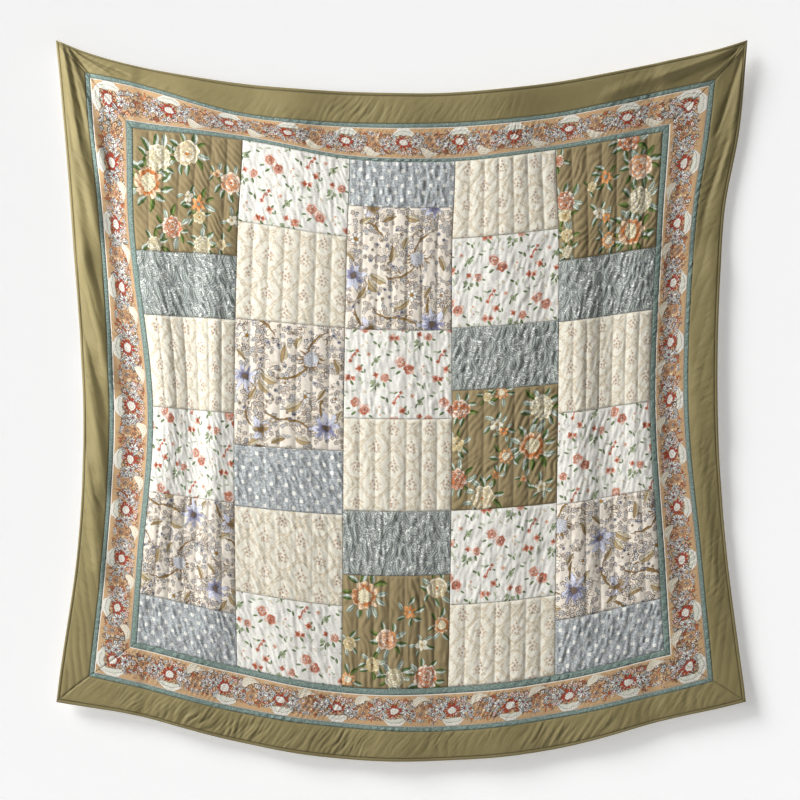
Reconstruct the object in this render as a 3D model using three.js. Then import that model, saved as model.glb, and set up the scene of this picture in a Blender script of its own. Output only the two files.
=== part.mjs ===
// A patchwork quilt that hangs from its two top corners against a wall.
// Millimetres, +Z up, +X to the right of someone who faces the quilt; its face looks along -Y.
// The origin is the middle of the quilt's top edge, in the middle of the cloth's thickness.
//
// Each piece is worked out flat first, by its place across the quilt (from the middle, to the
// right) and down it (from the top edge). hang() then carries a flat place to where it hangs.
import * as THREE from "three";

// Flat sizes
const quiltWidth = 2286;
const quiltHeight = 2221;
const bodyThickness = 3; // backing, thin filling and top where the quilting presses them together
const pieceGap = 0.4; // between neighbouring pieces, measured flat

// Bands sewn around the patchwork, from the quilt's edge inwards
const bands = {
  binding: { width: 10, cells: 1, colour: 0x857849, roughness: 0.72 },
  olive_border: { width: 95, cells: 4, colour: 0x9a8c5c, roughness: 0.62 },
  outer_strip: { width: 15, cells: 1, colour: 0x7a9a90, roughness: 0.8 },
  floral_border: { width: 110, cells: 3, colour: 0xc9a988, roughness: 0.85 },
  inner_strip: { width: 20, cells: 1, colour: 0x72938b, roughness: 0.8 },
};
const patchwork = { colour: 0xc4bda4, roughness: 0.88 };

// Quilting and gathers
const channelCount = 35; // seven stitched channels in each of five columns
const channelPuff = 3.2; // how far a channel stands proud of its stitching
const cellsPerChannel = 3;
const rowCount = 22; // cells down the patchwork and along every side band
const gatherHeight = 3; // small slanting gathers in the top and bottom borders
const cellsPerGatherPair = 4;
const seamFade = 40; // the columns swell over this distance from the side seams

// How far each long seam leans to the right of its flat place, at six heights
const leanHeights = { top: 0, shoulder: 0.125, upper: 0.25, middle: 0.5, lower: 0.75, hem: 1 };
const seamLeans = [
  { across: -1143, top: 16, shoulder: 41, upper: 65, middle: 104, lower: 86, hem: 18 },
  { across: -1038, top: 0, shoulder: 20, upper: 52, middle: 85, lower: 63, hem: 10 },
  { across: -893, top: 8, shoulder: 15, upper: 20, middle: 83, lower: 49, hem: 15 },
  { across: -536, top: 16, shoulder: 16, upper: 0, middle: -10, lower: -6, hem: 6 },
  { across: -179, top: 10, shoulder: 10, upper: 0, middle: -10, lower: -13, hem: -20 },
  { across: 179, top: -3, shoulder: -3, upper: -13, middle: -13, lower: -20, hem: -33 },
  { across: 536, top: -30, shoulder: -30, upper: -21, middle: -25, lower: -33, hem: -36 },
  { across: 893, top: -28, shoulder: -41, upper: -59, middle: -82, lower: -54, hem: -25 },
  { across: 1038, top: -3, shoulder: -34, upper: -77, middle: -103, lower: -60, hem: -13 },
  { across: 1143, top: -16, shoulder: -39, upper: -91, middle: -113, lower: -83, hem: -21 },
];

// How far each level line is lifted above its flat place, at eight places across
const liftPlaces = {
  edgeL: -1143,
  inL: -893,
  seam1: -536,
  seam2: -179,
  seam3: 179,
  seam4: 536,
  inR: 893,
  edgeR: 1143,
};
const levelLifts = [
  { down: 0, edgeL: 173, inL: 95, seam1: 34, seam2: 8, seam3: 5, seam4: 38, inR: 106, edgeR: 173 },
  { down: 105, edgeL: 193, inL: 142, seam1: 41, seam2: 11, seam3: 12, seam4: 43, inR: 116, edgeR: 176 },
  { down: 250, edgeL: 178, inL: 139, seam1: 100, seam2: 38, seam3: 31, seam4: 69, inR: 127, edgeR: 168 },
  { down: 1110, edgeL: 101, inL: 88, seam1: 67, seam2: 49, seam3: 47, seam4: 69, inR: 108, edgeR: 121 },
  { down: 1971, edgeL: 227, inL: 181, seam1: 101, seam2: 37, seam3: 35, seam4: 74, inR: 156, edgeR: 217 },
  { down: 2116, edgeL: 240, inL: 183, seam1: 98, seam2: 49, seam3: 37, seam4: 78, inR: 160, edgeR: 231 },
  { down: 2221, edgeL: 237, inL: 196, seam1: 106, seam2: 52, seam3: 46, seam4: 83, inR: 180, edgeR: 238 },
];

// Main folds: soft ridges, or troughs where the height is negative, along a line on the flat cloth
const folds = [
  { across: -1130, down: 30, toAcross: -1105, toDown: 690, halfWidth: 26, height: 13 },
  { across: -1118, down: 30, toAcross: -1048, toDown: 600, halfWidth: 26, height: 16 },
  { across: -1098, down: 40, toAcross: -990, toDown: 420, halfWidth: 26, height: 13 },
  { across: -1112, down: 640, toAcross: -1035, toDown: 1050, halfWidth: 28, height: 16 },
  { across: -1128, down: 930, toAcross: -1050, toDown: 1420, halfWidth: 28, height: 17 },
  { across: -1125, down: 1290, toAcross: -1040, toDown: 1760, halfWidth: 28, height: 13 },
  { across: -975, down: 260, toAcross: -960, toDown: 1850, halfWidth: 36, height: -12 },
  { across: -835, down: 560, toAcross: -850, toDown: 1750, halfWidth: 52, height: 24 },
  { across: -720, down: 700, toAcross: -700, toDown: 1800, halfWidth: 50, height: -14 },
  { across: -610, down: 500, toAcross: -620, toDown: 1900, halfWidth: 56, height: 12 },
  { across: 1128, down: 40, toAcross: 1112, toDown: 760, halfWidth: 30, height: 15 },
  { across: 1095, down: 60, toAcross: 1050, toDown: 640, halfWidth: 24, height: -13 },
  { across: 1060, down: 20, toAcross: 700, toDown: 75, halfWidth: 22, height: 9 },
  { across: 1060, down: 960, toAcross: 1085, toDown: 1820, halfWidth: 26, height: 14 },
  { across: 968, down: 300, toAcross: 965, toDown: 1900, halfWidth: 36, height: -12 },
  { across: 840, down: 520, toAcross: 850, toDown: 1750, halfWidth: 52, height: 20 },
  { across: 715, down: 600, toAcross: 730, toDown: 1800, halfWidth: 52, height: -13 },
  { across: 600, down: 500, toAcross: 600, toDown: 1900, halfWidth: 56, height: 10 },
];
const foldEnd = 0.22; // share of a fold's length over which each end fades
const columnSwell = 4; // each column of patches stands out a little between its long seams
const columnWidth = 357;
const lowerStandOff = 22; // the lower half leaves the wall by this much
const cornerPinch = { reach: 230, depth: 16 }; // cloth drawn forward around each held corner

const clamp01 = (t) => Math.min(1, Math.max(0, t));
const smooth = (t) => clamp01(t) ** 2 * (3 - 2 * clamp01(t));
const mix = (a, b, t) => a + (b - a) * t;

// The smooth curve through values at rising stations, read at one place
function curveThrough(stations, values, place) {
  const last = stations.length - 1;
  const slope = (i) => {
    const low = Math.max(0, i - 1);
    const high = Math.min(last, i + 1);
    return (values[high] - values[low]) / (stations[high] - stations[low]);
  };
  let i = 0;
  while (i < last - 1 && place > stations[i + 1]) i++;
  const span = stations[i + 1] - stations[i];
  const t = (place - stations[i]) / span;
  const t2 = t * t;
  const t3 = t2 * t;
  return (
    (2 * t3 - 3 * t2 + 1) * values[i] +
    (t3 - 2 * t2 + t) * span * slope(i) +
    (3 * t2 - 2 * t3) * values[i + 1] +
    (t3 - t2) * span * slope(i + 1)
  );
}

const leanStations = Object.values(leanHeights).map((share) => share * quiltHeight);
const seamStations = seamLeans.map((row) => row.across);
const liftStations = Object.values(liftPlaces);
const levelStations = levelLifts.map((row) => row.down);

function leanAt(across, down) {
  const leans = seamLeans.map((row) =>
    curveThrough(leanStations, Object.keys(leanHeights).map((name) => row[name]), down),
  );
  return curveThrough(seamStations, leans, across);
}

function liftAt(across, down) {
  const lifts = levelLifts.map((row) =>
    curveThrough(liftStations, Object.keys(liftPlaces).map((name) => row[name]), across),
  );
  return curveThrough(levelStations, lifts, down);
}

function foldHeight(fold, across, down) {
  const run = new THREE.Vector2(fold.toAcross - fold.across, fold.toDown - fold.down);
  const offset = new THREE.Vector2(across - fold.across, down - fold.down);
  const along = offset.dot(run) / run.lengthSq();
  const aside = Math.abs(offset.cross(run)) / run.length();
  const ends = smooth((along + foldEnd / 2) / foldEnd) * smooth((1 + foldEnd / 2 - along) / foldEnd);
  return fold.height * ends * Math.exp(-((aside / fold.halfWidth) ** 2));
}

// How far a place stands out towards the viewer
function standOut(across, down) {
  const edgeOfPatches = quiltWidth / 2 - bandOffset("patchwork");
  const inPatches = smooth((edgeOfPatches - Math.abs(across)) / seamFade);
  const swell = columnSwell * inPatches * Math.cos((2 * Math.PI * across) / columnWidth);
  const nearCorner = Math.hypot(quiltWidth / 2 - Math.abs(across), down) / cornerPinch.reach;
  const pinch = cornerPinch.depth * Math.exp(-(nearCorner ** 2));
  const away = lowerStandOff * smooth(down / quiltHeight);
  return folds.reduce((sum, fold) => sum + foldHeight(fold, across, down), swell + pinch + away);
}

const originDepth = standOut(0, 0);
const originLift = liftAt(0, 0);

function hang(across, down) {
  return new THREE.Vector3(
    across + leanAt(across, down) - leanAt(0, 0),
    originDepth - standOut(across, down),
    liftAt(across, down) - originLift - down,
  );
}

// Distance from the quilt's edge to the outer side of a band, or of the patchwork
function bandOffset(name) {
  let offset = 0;
  for (const [band, { width }] of Object.entries(bands)) {
    if (band === name) return offset;
    offset += width;
  }
  return offset;
}

// A closed sheet: a fine front with relief and a plainer back, joined around the rim.
// place(s, r) gives flat [across, down] for shares along and across the piece.
function sheet({ place, along, across, split = 1, relief = () => 0 }) {
  const positions = [];
  const triangles = [];
  const middle = [];
  for (let j = 0; j <= across; j++) {
    middle.push([]);
    for (let i = 0; i <= along; i++) middle[j].push(hang(...place(i / along, j / across)));
  }
  const front = [];
  const back = [];
  for (let j = 0; j <= across; j++) {
    front.push([]);
    back.push([]);
    for (let k = 0; k <= along * split; k++) {
      const i = Math.min(along - 1, Math.floor(k / split));
      const p = middle[j][i].clone().lerp(middle[j][i + 1], k / split - i);
      front[j].push(positions.push([p.x, p.y - bodyThickness / 2 - relief(k, j), p.z]) - 1);
    }
    for (let i = 0; i <= along; i++) {
      const p = middle[j][i];
      back[j].push(positions.push([p.x, p.y + bodyThickness / 2, p.z]) - 1);
    }
  }
  const face = (grid, turned) => {
    for (let j = 0; j + 1 < grid.length; j++) {
      for (let i = 0; i + 1 < grid[j].length; i++) {
        const [a, b, c, d] = [grid[j][i], grid[j][i + 1], grid[j + 1][i + 1], grid[j + 1][i]];
        triangles.push(...(turned ? [[a, c, d], [a, b, c]] : [[a, d, c], [a, c, b]]));
      }
    }
  };
  face(front, false);
  face(back, true);
  const rimOf = (grid) => [
    grid[0],
    grid.map((row) => row[row.length - 1]),
    grid[grid.length - 1].toReversed(),
    grid.map((row) => row[0]).toReversed(),
  ];
  const backRim = rimOf(back);
  rimOf(front).forEach((frontEdge, n) => {
    const backEdge = backRim[n];
    let f = 0;
    let b = 0;
    while (f < frontEdge.length - 1 || b < backEdge.length - 1) {
      const frontNext = (f + 1) / (frontEdge.length - 1);
      const backNext = (b + 1) / (backEdge.length - 1);
      if (frontNext <= backNext) triangles.push([frontEdge[f], frontEdge[++f], backEdge[b]]);
      else triangles.push([frontEdge[f], backEdge[b + 1], backEdge[b++]]);
    }
  });
  return closedGeometry(positions, triangles);
}

// Faces are turned outwards by the sign of the enclosed volume
function closedGeometry(positions, triangles) {
  const corners = positions.map((p) => new THREE.Vector3(...p));
  const volume = triangles.reduce(
    (sum, [a, b, c]) => sum + corners[a].dot(new THREE.Vector3().crossVectors(corners[b], corners[c])),
    0,
  );
  const outward = volume < 0 ? triangles.map(([a, b, c]) => [a, c, b]) : triangles;
  const geometry = new THREE.BufferGeometry();
  geometry.setAttribute("position", new THREE.Float32BufferAttribute(positions.flat(), 3));
  geometry.setIndex(outward.flat());
  geometry.computeVertexNormals();
  return geometry;
}

// One side of a band, mitred at both ends. Its inner side is r = 1.
function bandPlace(side, outer, inner) {
  return (s, r) => {
    const inset = mix(outer + pieceGap / 2, inner - pieceGap / 2, r);
    const mitre = pieceGap * Math.SQRT1_2;
    const start = inset + mitre;
    const left = -quiltWidth / 2;
    if (side === "top") return [mix(left + start, -left - start, s), inset];
    if (side === "bottom") return [mix(left + start, -left - start, s), quiltHeight - inset];
    const down = mix(start, quiltHeight - start, s);
    return side === "left" ? [left + inset, down] : [-left - inset, down];
  };
}

function bandPiece(name, side) {
  const { width, cells } = bands[name];
  const outer = bandOffset(name);
  const level = side === "top" || side === "bottom";
  const gathered = level && name === "olive_border";
  return sheet({
    place: bandPlace(side, outer, outer + width),
    along: level ? channelCount : rowCount,
    across: cells,
    split: gathered ? cellsPerGatherPair : 1,
    relief: (k, j) => {
      const onSeam = j === 0 || j === cells || k === 0 || k === channelCount * cellsPerGatherPair;
      return gathered && !onSeam && (k + j) % 2 === 0 ? gatherHeight : 0;
    },
  });
}

function patchworkPiece() {
  const inset = bandOffset("patchwork") + pieceGap / 2;
  const left = -quiltWidth / 2 + inset;
  return sheet({
    place: (s, r) => [mix(left, -left, s), mix(inset, quiltHeight - inset, r)],
    along: channelCount,
    across: rowCount,
    split: cellsPerChannel,
    relief: (k, j) => (k % cellsPerChannel === 0 || j === 0 || j === rowCount ? 0 : channelPuff),
  });
}

function named(name, geometry, { colour, roughness }) {
  const mesh = new THREE.Mesh(
    geometry,
    new THREE.MeshStandardMaterial({ color: colour, roughness, metalness: 0 }),
  );
  mesh.name = name;
  return mesh;
}

const quilt = new THREE.Group();
quilt.add(named("patchwork_panel", patchworkPiece(), patchwork));
for (const [name, band] of Object.entries(bands)) {
  for (const side of ["top", "right", "bottom", "left"]) {
    quilt.add(named(`${name}_${side}`, bandPiece(name, side), band));
  }
}

export default quilt;
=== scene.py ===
import math
import bpy
import numpy as np
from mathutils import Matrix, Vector


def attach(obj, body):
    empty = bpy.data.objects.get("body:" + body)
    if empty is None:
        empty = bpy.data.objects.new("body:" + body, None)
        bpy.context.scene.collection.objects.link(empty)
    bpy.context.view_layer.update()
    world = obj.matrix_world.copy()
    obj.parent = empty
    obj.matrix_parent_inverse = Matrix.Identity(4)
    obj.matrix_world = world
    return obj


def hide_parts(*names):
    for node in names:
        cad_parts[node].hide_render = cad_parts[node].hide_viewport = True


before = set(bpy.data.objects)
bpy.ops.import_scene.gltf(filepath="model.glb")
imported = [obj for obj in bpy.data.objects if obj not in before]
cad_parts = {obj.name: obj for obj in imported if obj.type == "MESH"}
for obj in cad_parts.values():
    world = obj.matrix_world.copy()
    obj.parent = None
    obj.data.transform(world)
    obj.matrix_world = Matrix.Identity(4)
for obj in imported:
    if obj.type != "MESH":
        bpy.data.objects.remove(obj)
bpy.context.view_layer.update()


def table(columns, *rows):
    return [dict(zip(columns.split(), row)) for row in rows]


def tableByKind(columns, *rows):
    return {row["kind"]: row for row in table("kind " + columns, *rows)}


# The quilt is worked out flat, in millimetres: across from its middle, to the right, and down from its top edge.
quilt = {
    "width": 2286,
    "height": 2221,
    "thickness": 3,
    "foldEnd": 0.22,  # share of a fold's length over which each end fades
    "columnSwell": 4,
    "swellPitch": 357,
    "columnWidth": 357.2,
    "channels": 7,  # sewn down each column
    "seamFade": 40,
    "lowerStandOff": 22,
    "pinchReach": 230,
    "pinchDepth": 16,
}
bandWidths = {"binding": 10, "olive_border": 95, "outer_strip": 15, "floral_border": 110, "inner_strip": 20}
patchInset = sum(bandWidths.values())
halfWidth, fullHeight = quilt["width"] / 2, quilt["height"]

# How far each long seam leans to the right of its flat place, at named shares of the height
leanShares = {"top": 0, "shoulder": 0.125, "upper": 0.25, "middle": 0.5, "lower": 0.75, "hem": 1}
seamLeans = table(
    "across top shoulder upper middle lower hem",
    (-1143, 16, 41, 65, 104, 86, 18),
    (-1038, 0, 20, 52, 85, 63, 10),
    (-893, 8, 15, 20, 83, 49, 15),
    (-536, 16, 16, 0, -10, -6, 6),
    (-179, 10, 10, 0, -10, -13, -20),
    (179, -3, -3, -13, -13, -20, -33),
    (536, -30, -30, -21, -25, -33, -36),
    (893, -28, -41, -59, -82, -54, -25),
    (1038, -3, -34, -77, -103, -60, -13),
    (1143, -16, -39, -91, -113, -83, -21),
)
# How far each level line is lifted above its flat place, at named places across
liftPlaces = {
    "edgeL": -1143, "inL": -893, "seam1": -536, "seam2": -179,
    "seam3": 179, "seam4": 536, "inR": 893, "edgeR": 1143,
}
levelLifts = table(
    "down edgeL inL seam1 seam2 seam3 seam4 inR edgeR",
    (0, 173, 95, 34, 8, 5, 38, 106, 173),
    (105, 193, 142, 41, 11, 12, 43, 116, 176),
    (250, 178, 139, 100, 38, 31, 69, 127, 168),
    (1110, 101, 88, 67, 49, 47, 69, 108, 121),
    (1971, 227, 181, 101, 37, 35, 74, 156, 217),
    (2116, 240, 183, 98, 49, 37, 78, 160, 231),
    (2221, 237, 196, 106, 52, 46, 83, 180, 238),
)
# Soft ridges along a line from (across, down) to (toAcross, toDown); a negative height is a trough.
foldColumns = "across down toAcross toDown halfWidth height"
mainFolds = table(
    foldColumns,
    (-1130, 30, -1105, 690, 26, 13),
    (-1118, 30, -1048, 600, 26, 16),
    (-1098, 40, -990, 420, 26, 13),
    (-1112, 640, -1035, 1050, 28, 16),
    (-1128, 930, -1050, 1420, 28, 17),
    (-1125, 1290, -1040, 1760, 28, 13),
    (-975, 260, -960, 1850, 36, -12),
    (-835, 560, -850, 1750, 52, 24),
    (-720, 700, -700, 1800, 50, -14),
    (-610, 500, -620, 1900, 56, 12),
    (1128, 40, 1112, 760, 30, 15),
    (1095, 60, 1050, 640, 24, -13),
    (1060, 20, 700, 75, 22, 9),
    (1060, 960, 1085, 1820, 26, 14),
    (968, 300, 965, 1900, 36, -12),
    (840, 520, 850, 1750, 52, 20),
    (715, 600, 730, 1800, 52, -13),
    (600, 500, 600, 1900, 56, 10),
)


def smooth(t):
    t = np.clip(t, 0, 1)
    return t * t * (3 - 2 * t)


def mix(a, b, t):
    return a + (b - a) * t


def curveThrough(stations, values, place):
    stations, place = np.asarray(stations, float), np.asarray(place, float)
    levels = np.stack([np.broadcast_to(np.asarray(v, float), place.shape) for v in values])
    last = len(stations) - 1
    i = np.clip(np.searchsorted(stations, place, side="left") - 1, 0, last - 1)
    pick = lambda k: np.take_along_axis(levels, k[None], 0)[0]

    def slope(k):
        low, high = np.maximum(k - 1, 0), np.minimum(k + 1, last)
        return (pick(high) - pick(low)) / (stations[high] - stations[low])

    span = stations[i + 1] - stations[i]
    t = (place - stations[i]) / span
    return (
        (2 * t**3 - 3 * t**2 + 1) * pick(i)
        + (t**3 - 2 * t**2 + t) * span * slope(i)
        + (3 * t**2 - 2 * t**3) * pick(i + 1)
        + (t**3 - t**2) * span * slope(i + 1)
    )


def leanAt(across, down):
    heights = [share * fullHeight for share in leanShares.values()]
    leans = [curveThrough(heights, [row[name] for name in leanShares], down) for row in seamLeans]
    return curveThrough([row["across"] for row in seamLeans], leans, across)


def liftAt(across, down):
    places = list(liftPlaces.values())
    lifts = [curveThrough(places, [row[name] for name in liftPlaces], across) for row in levelLifts]
    return curveThrough([row["down"] for row in levelLifts], lifts, down)


def foldHeight(fold, across, down):
    runX, runY = fold["toAcross"] - fold["across"], fold["toDown"] - fold["down"]
    offX, offY = across - fold["across"], down - fold["down"]
    along = (offX * runX + offY * runY) / (runX**2 + runY**2)
    aside = np.abs(offX * runY - offY * runX) / math.hypot(runX, runY)
    end = quilt["foldEnd"]
    ends = smooth((along + end / 2) / end) * smooth((1 + end / 2 - along) / end)
    return fold["height"] * ends * np.exp(-((aside / fold["halfWidth"]) ** 2))


def standOut(across, down):
    inPatches = smooth((halfWidth - patchInset - np.abs(across)) / quilt["seamFade"])
    out = quilt["columnSwell"] * inPatches * np.cos(2 * math.pi * across / quilt["swellPitch"])
    nearCorner = np.hypot(halfWidth - np.abs(across), down) / quilt["pinchReach"]
    out = out + quilt["pinchDepth"] * np.exp(-(nearCorner**2)) + quilt["lowerStandOff"] * smooth(down / fullHeight)
    for fold in mainFolds:
        out = out + foldHeight(fold, across, down)
    return out


middleTop = (np.zeros(1), np.zeros(1))
originLean, originLift, originDepth = (part(*middleTop)[0] for part in (leanAt, liftAt, standOut))


def hang(across, down, proud):
    x = across + leanAt(across, down) - originLean
    z = liftAt(across, down) - originLift - down
    return np.stack([x, originDepth - standOut(across, down) - proud, z], -1) / 1000


# Fine relief, in millimetres proud of the cloth's own folds

def softNoise(x, y, cell, seed):
    size = 64
    lattice = np.random.default_rng(seed).random((size, size))
    gx, gy = np.asarray(x) / cell, np.asarray(y) / cell
    ix, iy = np.floor(gx).astype(int), np.floor(gy).astype(int)
    tx, ty = smooth(gx - ix), smooth(gy - iy)
    at = lambda dx, dy: lattice[(ix + dx) % size, (iy + dy) % size]
    return 2 * mix(mix(at(0, 0), at(1, 0), tx), mix(at(0, 1), at(1, 1), tx), ty) - 1


# wrinkles lean by slant, drift about by wander over one patch of noise, and come and go over the next
wrinkles = {
    "ripple": {"drift": 3.1, "fading": 2.3, "least": 0.5},
    "lobe": {"drift": 2.4, "fading": 2.8, "least": 0.6, "height": 1.7, "fullness": 0.8},
    "crinkleLength": 3.6,  # over its width
}


def wandering(kind, x, y, spacing, slant, wander, seed):
    look = wrinkles[kind]
    phase = (x + slant * y) / spacing + wander * softNoise(x, y, look["drift"] * spacing, seed)
    return phase, look["least"] + (1 - look["least"]) * softNoise(x, y, look["fading"] * spacing, seed + 1)


def ripples(*place):
    # parallel wrinkles
    phase, strength = wandering("ripple", *place)
    return strength * np.cos(2 * math.pi * phase)


def lobes(*place):
    # pillowy folds parted by sharper valleys
    phase, strength = wandering("lobe", *place)
    look = wrinkles["lobe"]
    return strength * (look["height"] * np.abs(np.sin(math.pi * phase)) ** look["fullness"] - 1)


def crinkles(x, y, cell, slant, seed):
    # short upright wrinkles
    return softNoise(x + slant * y, y / wrinkles["crinkleLength"], cell, seed)


def dip(distance, reach):
    return np.exp(-((distance / reach) ** 2))


# Creases too small for the main folds, near the two held corners, and slight corrections of those folds
smallFolds = table(
    foldColumns,
    (-1128, 20, -1112, 360, 9, -4),
    (-1116, 18, -1080, 330, 9, 3.5),
    (-1106, 18, -1054, 270, 8, -5),
    (-1094, 20, -1032, 210, 8, 4),
    (-1086, 18, -1005, 130, 7, -5),
    (-1075, 16, -960, 90, 7, 4),
    (-1062, 14, -905, 75, 7, -4),
    (-1010, 150, -955, 250, 8, -4),
    (-985, 130, -900, 230, 8, -3),
    (1108, 22, 925, 78, 8, -6),
    (1096, 14, 860, 56, 8, 4),
    (1120, 30, 1000, 98, 8, 4),
    (1127, 50, 1060, 290, 9, -6),
    (1136, 40, 1102, 440, 10, 4),
    (1112, 280, 1062, 560, 11, -4),
    (1120, 6, 150, 2, 66, 16),
    (-1030, 132, -330, 126, 90, 17),
    (1026, 170, 1030, 600, 60, 7),
    (1128, 660, 1120, 1260, 60, 9),
    (1128, 40, 1112, 760, 30, -11),
    (1095, 60, 1050, 640, 24, 10),
    (1060, 960, 1085, 1820, 26, -10),
    (1130, 1480, 1132, 2120, 60, -8),
    (968, 300, 965, 1900, 36, 5),
    (-835, 560, -850, 1750, 52, -8),
    (-720, 700, -700, 1800, 50, 5),
    (840, 520, 850, 1750, 52, -8),
    (715, 600, 730, 1800, 52, 4),
)


def smallFoldsAt(across, down):
    return sum(foldHeight(fold, across, down) for fold in smallFolds)


# puff: channels between the quilting lines; pucker: slanting folds in a channel, by slant;
# crinkle: fine upright wrinkles; line: painted shade along the quilting
clothFinish = tableByKind(
    "puff pucker slant crinkle line",
    ("oliveFloral", 4.2, 3.5, 0.85, 0.8, 0.85),
    ("creamTrellis", 4.0, 1.1, 0.6, 0.5, 0.5),
    ("creamCrinkled", 1.8, 0.6, 0.4, 1.8, 0.3),
    ("jacobean", 4.2, 0.9, 0.8, 0.7, 0.6),
    ("whiteRose", 1.5, 0.5, 0.5, 1.7, 0.25),
    ("grayDotted", 1.5, 0.9, 0.5, 3.5, 0.25),
    ("paisleyPrint", 1.3, 1.0, 0.5, 3.8, 0.2),
)
channelWidth = quilt["columnWidth"] / quilt["channels"]
patchwork = {
    "roundness": 0.55,  # of a channel; lower is fuller
    "puckerSpacing": 24, "puckerWander": 1.1, "puckerOnLine": 0.35,
    "pullReach": 250, "pullLean": -0.15,  # puckers run towards the nearer held corner
    "crinkleCells": (7.5, 6), "crinkleSlants": (0.4, 0.15), "unevenCells": (70, 14), "unevenShares": (0.3, 0.22),
    # the last three set how far the painted shade reaches from seams and quilting lines, and how deep a pucker's
    # bottom must be to be fully painted in shade, in millimetres
    "seamFade": 9, "seamRoundness": 0.6, "seamShade": 3, "lineShade": 2.5, "hollowShadeDepth": 2.4,
}


def patchRelief(kind, across, down, left, right, top, bottom, seed):
    finish, look, place = clothFinish[kind], patchwork, (across, down)
    share = np.mod(across - left + 0.01, channelWidth) / channelWidth
    puff = np.sin(math.pi * np.clip(share, 0, 1)) ** look["roundness"]
    pull = float(np.clip(across.mean() / look["pullReach"], -1, 1)) + look["pullLean"]
    slanted = lobes(*place, look["puckerSpacing"], pull * finish["slant"], look["puckerWander"], seed)
    slanted = slanted * (look["puckerOnLine"] + (1 - look["puckerOnLine"]) * puff)
    (wideCell, narrowCell), (wideSlant, narrowSlant) = look["crinkleCells"], look["crinkleSlants"]
    fine = crinkles(*place, wideCell, pull * wideSlant, seed + 5)
    fine = fine + 0.7 * crinkles(*place, narrowCell, pull * narrowSlant, seed + 9)
    (wideCell, narrowCell), (wideShare, narrowShare) = look["unevenCells"], look["unevenShares"]
    uneven = 1 + wideShare * softNoise(*place, wideCell, seed + 3)
    uneven = uneven + narrowShare * softNoise(*place, narrowCell, seed + 6)
    rumple = finish["pucker"] * slanted + finish["crinkle"] * fine
    relief = finish["puff"] * uneven * puff + rumple
    nearSeam = np.minimum(np.minimum(down - top, bottom - down), np.minimum(across - left, right - across))
    nearLine = np.minimum(share, 1 - share) * channelWidth
    # painted shade, carried to the colour: darker along the seams and the quilting lines and in the bottoms of the
    # puckers
    paintedShade = np.maximum(0.65 * dip(nearSeam, look["seamShade"]), finish["line"] * dip(nearLine, look["lineShade"]))
    paintedShade = np.maximum(paintedShade, 0.6 * np.clip(-rumple / look["hollowShadeDepth"], 0, 1))
    return relief * smooth(nearSeam / look["seamFade"]) ** look["seamRoundness"], paintedShade


# Gathers in the bands: spacing and height in millimetres, slant as across per down; crown: how flat the middle is;
# lobed ones have sharper valleys; then how many cells along and across
bandFinish = tableByKind(
    "spacing height slant lobed puff crown cells",
    ("binding", 17, 0.35, 0.6, False, 2.2, 0.5, (480, 6)),
    ("olive_border", 31, 3.6, 0.7, True, 2.6, 0.35, (702, 24)),
    ("outer_strip", 28, 2.6, 0.5, False, 1.4, 0.35, (480, 6)),
    ("floral_border", 17, 1.7, 0.6, False, 1.8, 0.35, (600, 33)),
    ("inner_strip", 30, 2.8, 0.5, False, 1.4, 0.35, (480, 6)),
)
# how gathers of three sizes add up, over what distance they come and go, and how soon a band's ends are reached; then
# how far the painted shade reaches from seams and into gathers, and how soon it fades from a band's ends
gathering = {
    "wander": 0.9, "shares": (0.75, 0.35, 0.6), "finer": (0.5, 0.42), "cell": 170, "shade": 2.6,
    "endFade": 250, "endShade": 900,
}
# the olive sides' long folds, and how the top one is drawn smoother towards the right corner
oliveFinish = {
    "spacing": 37, "slant": -0.3, "wander": 0.4, "height": {"left": 2.9, "right": 1.5}, "cell": 210, "gathers": 0.35,
    "smoothing": 0.7, "smoothReach": 500,
}


def bandRelief(name, side, along, inward, width, seed):
    finish, place = bandFinish[name], (along, inward)
    slant, spacing = finish["slant"] * (1 if side == "top" else -1), finish["spacing"]
    (main, second, third), (fine, short) = gathering["shares"], gathering["finer"]
    gathers = main * (lobes if finish["lobed"] else ripples)(*place, spacing, slant, gathering["wander"], seed)
    gathers = gathers + second * ripples(*place, fine * spacing, slant, 0.6, seed + 4)
    gathers = gathers + third * crinkles(*place, short * spacing, slant * 0.8, seed + 11)
    gathers = finish["height"] * gathers
    gathers = gathers * np.maximum(0.55 + 0.65 * softNoise(*place, gathering["cell"], seed + 8), 0.12)
    if name == "olive_border" and side in oliveFinish["height"]:
        look = oliveFinish
        runs = lobes(inward, along, look["spacing"], look["slant"], look["wander"], seed + 6)
        runs = look["height"][side] * runs * (0.7 + 0.3 * softNoise(*place, look["cell"], seed + 7))
        gathers = runs + look["gathers"] * gathers
    if name == "olive_border" and side == "top":
        gathers = gathers * (1 - oliveFinish["smoothing"] * smooth(along / oliveFinish["smoothReach"]))
    share = np.clip(inward / width, 0, 1)
    nearSeam = (1 - share if name == "binding" else np.minimum(share, 1 - share)) * width
    # painted shade: darker colour along the seams and in the hollows of the gathers
    paintedShade = 0.9 * dip(nearSeam, gathering["shade"])
    paintedShade = np.maximum(paintedShade, 0.55 * np.clip(-gathers / gathering["shade"], 0, 1))
    return (finish["puff"] + gathers) * np.sin(math.pi * share) ** finish["crown"], paintedShade


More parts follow.
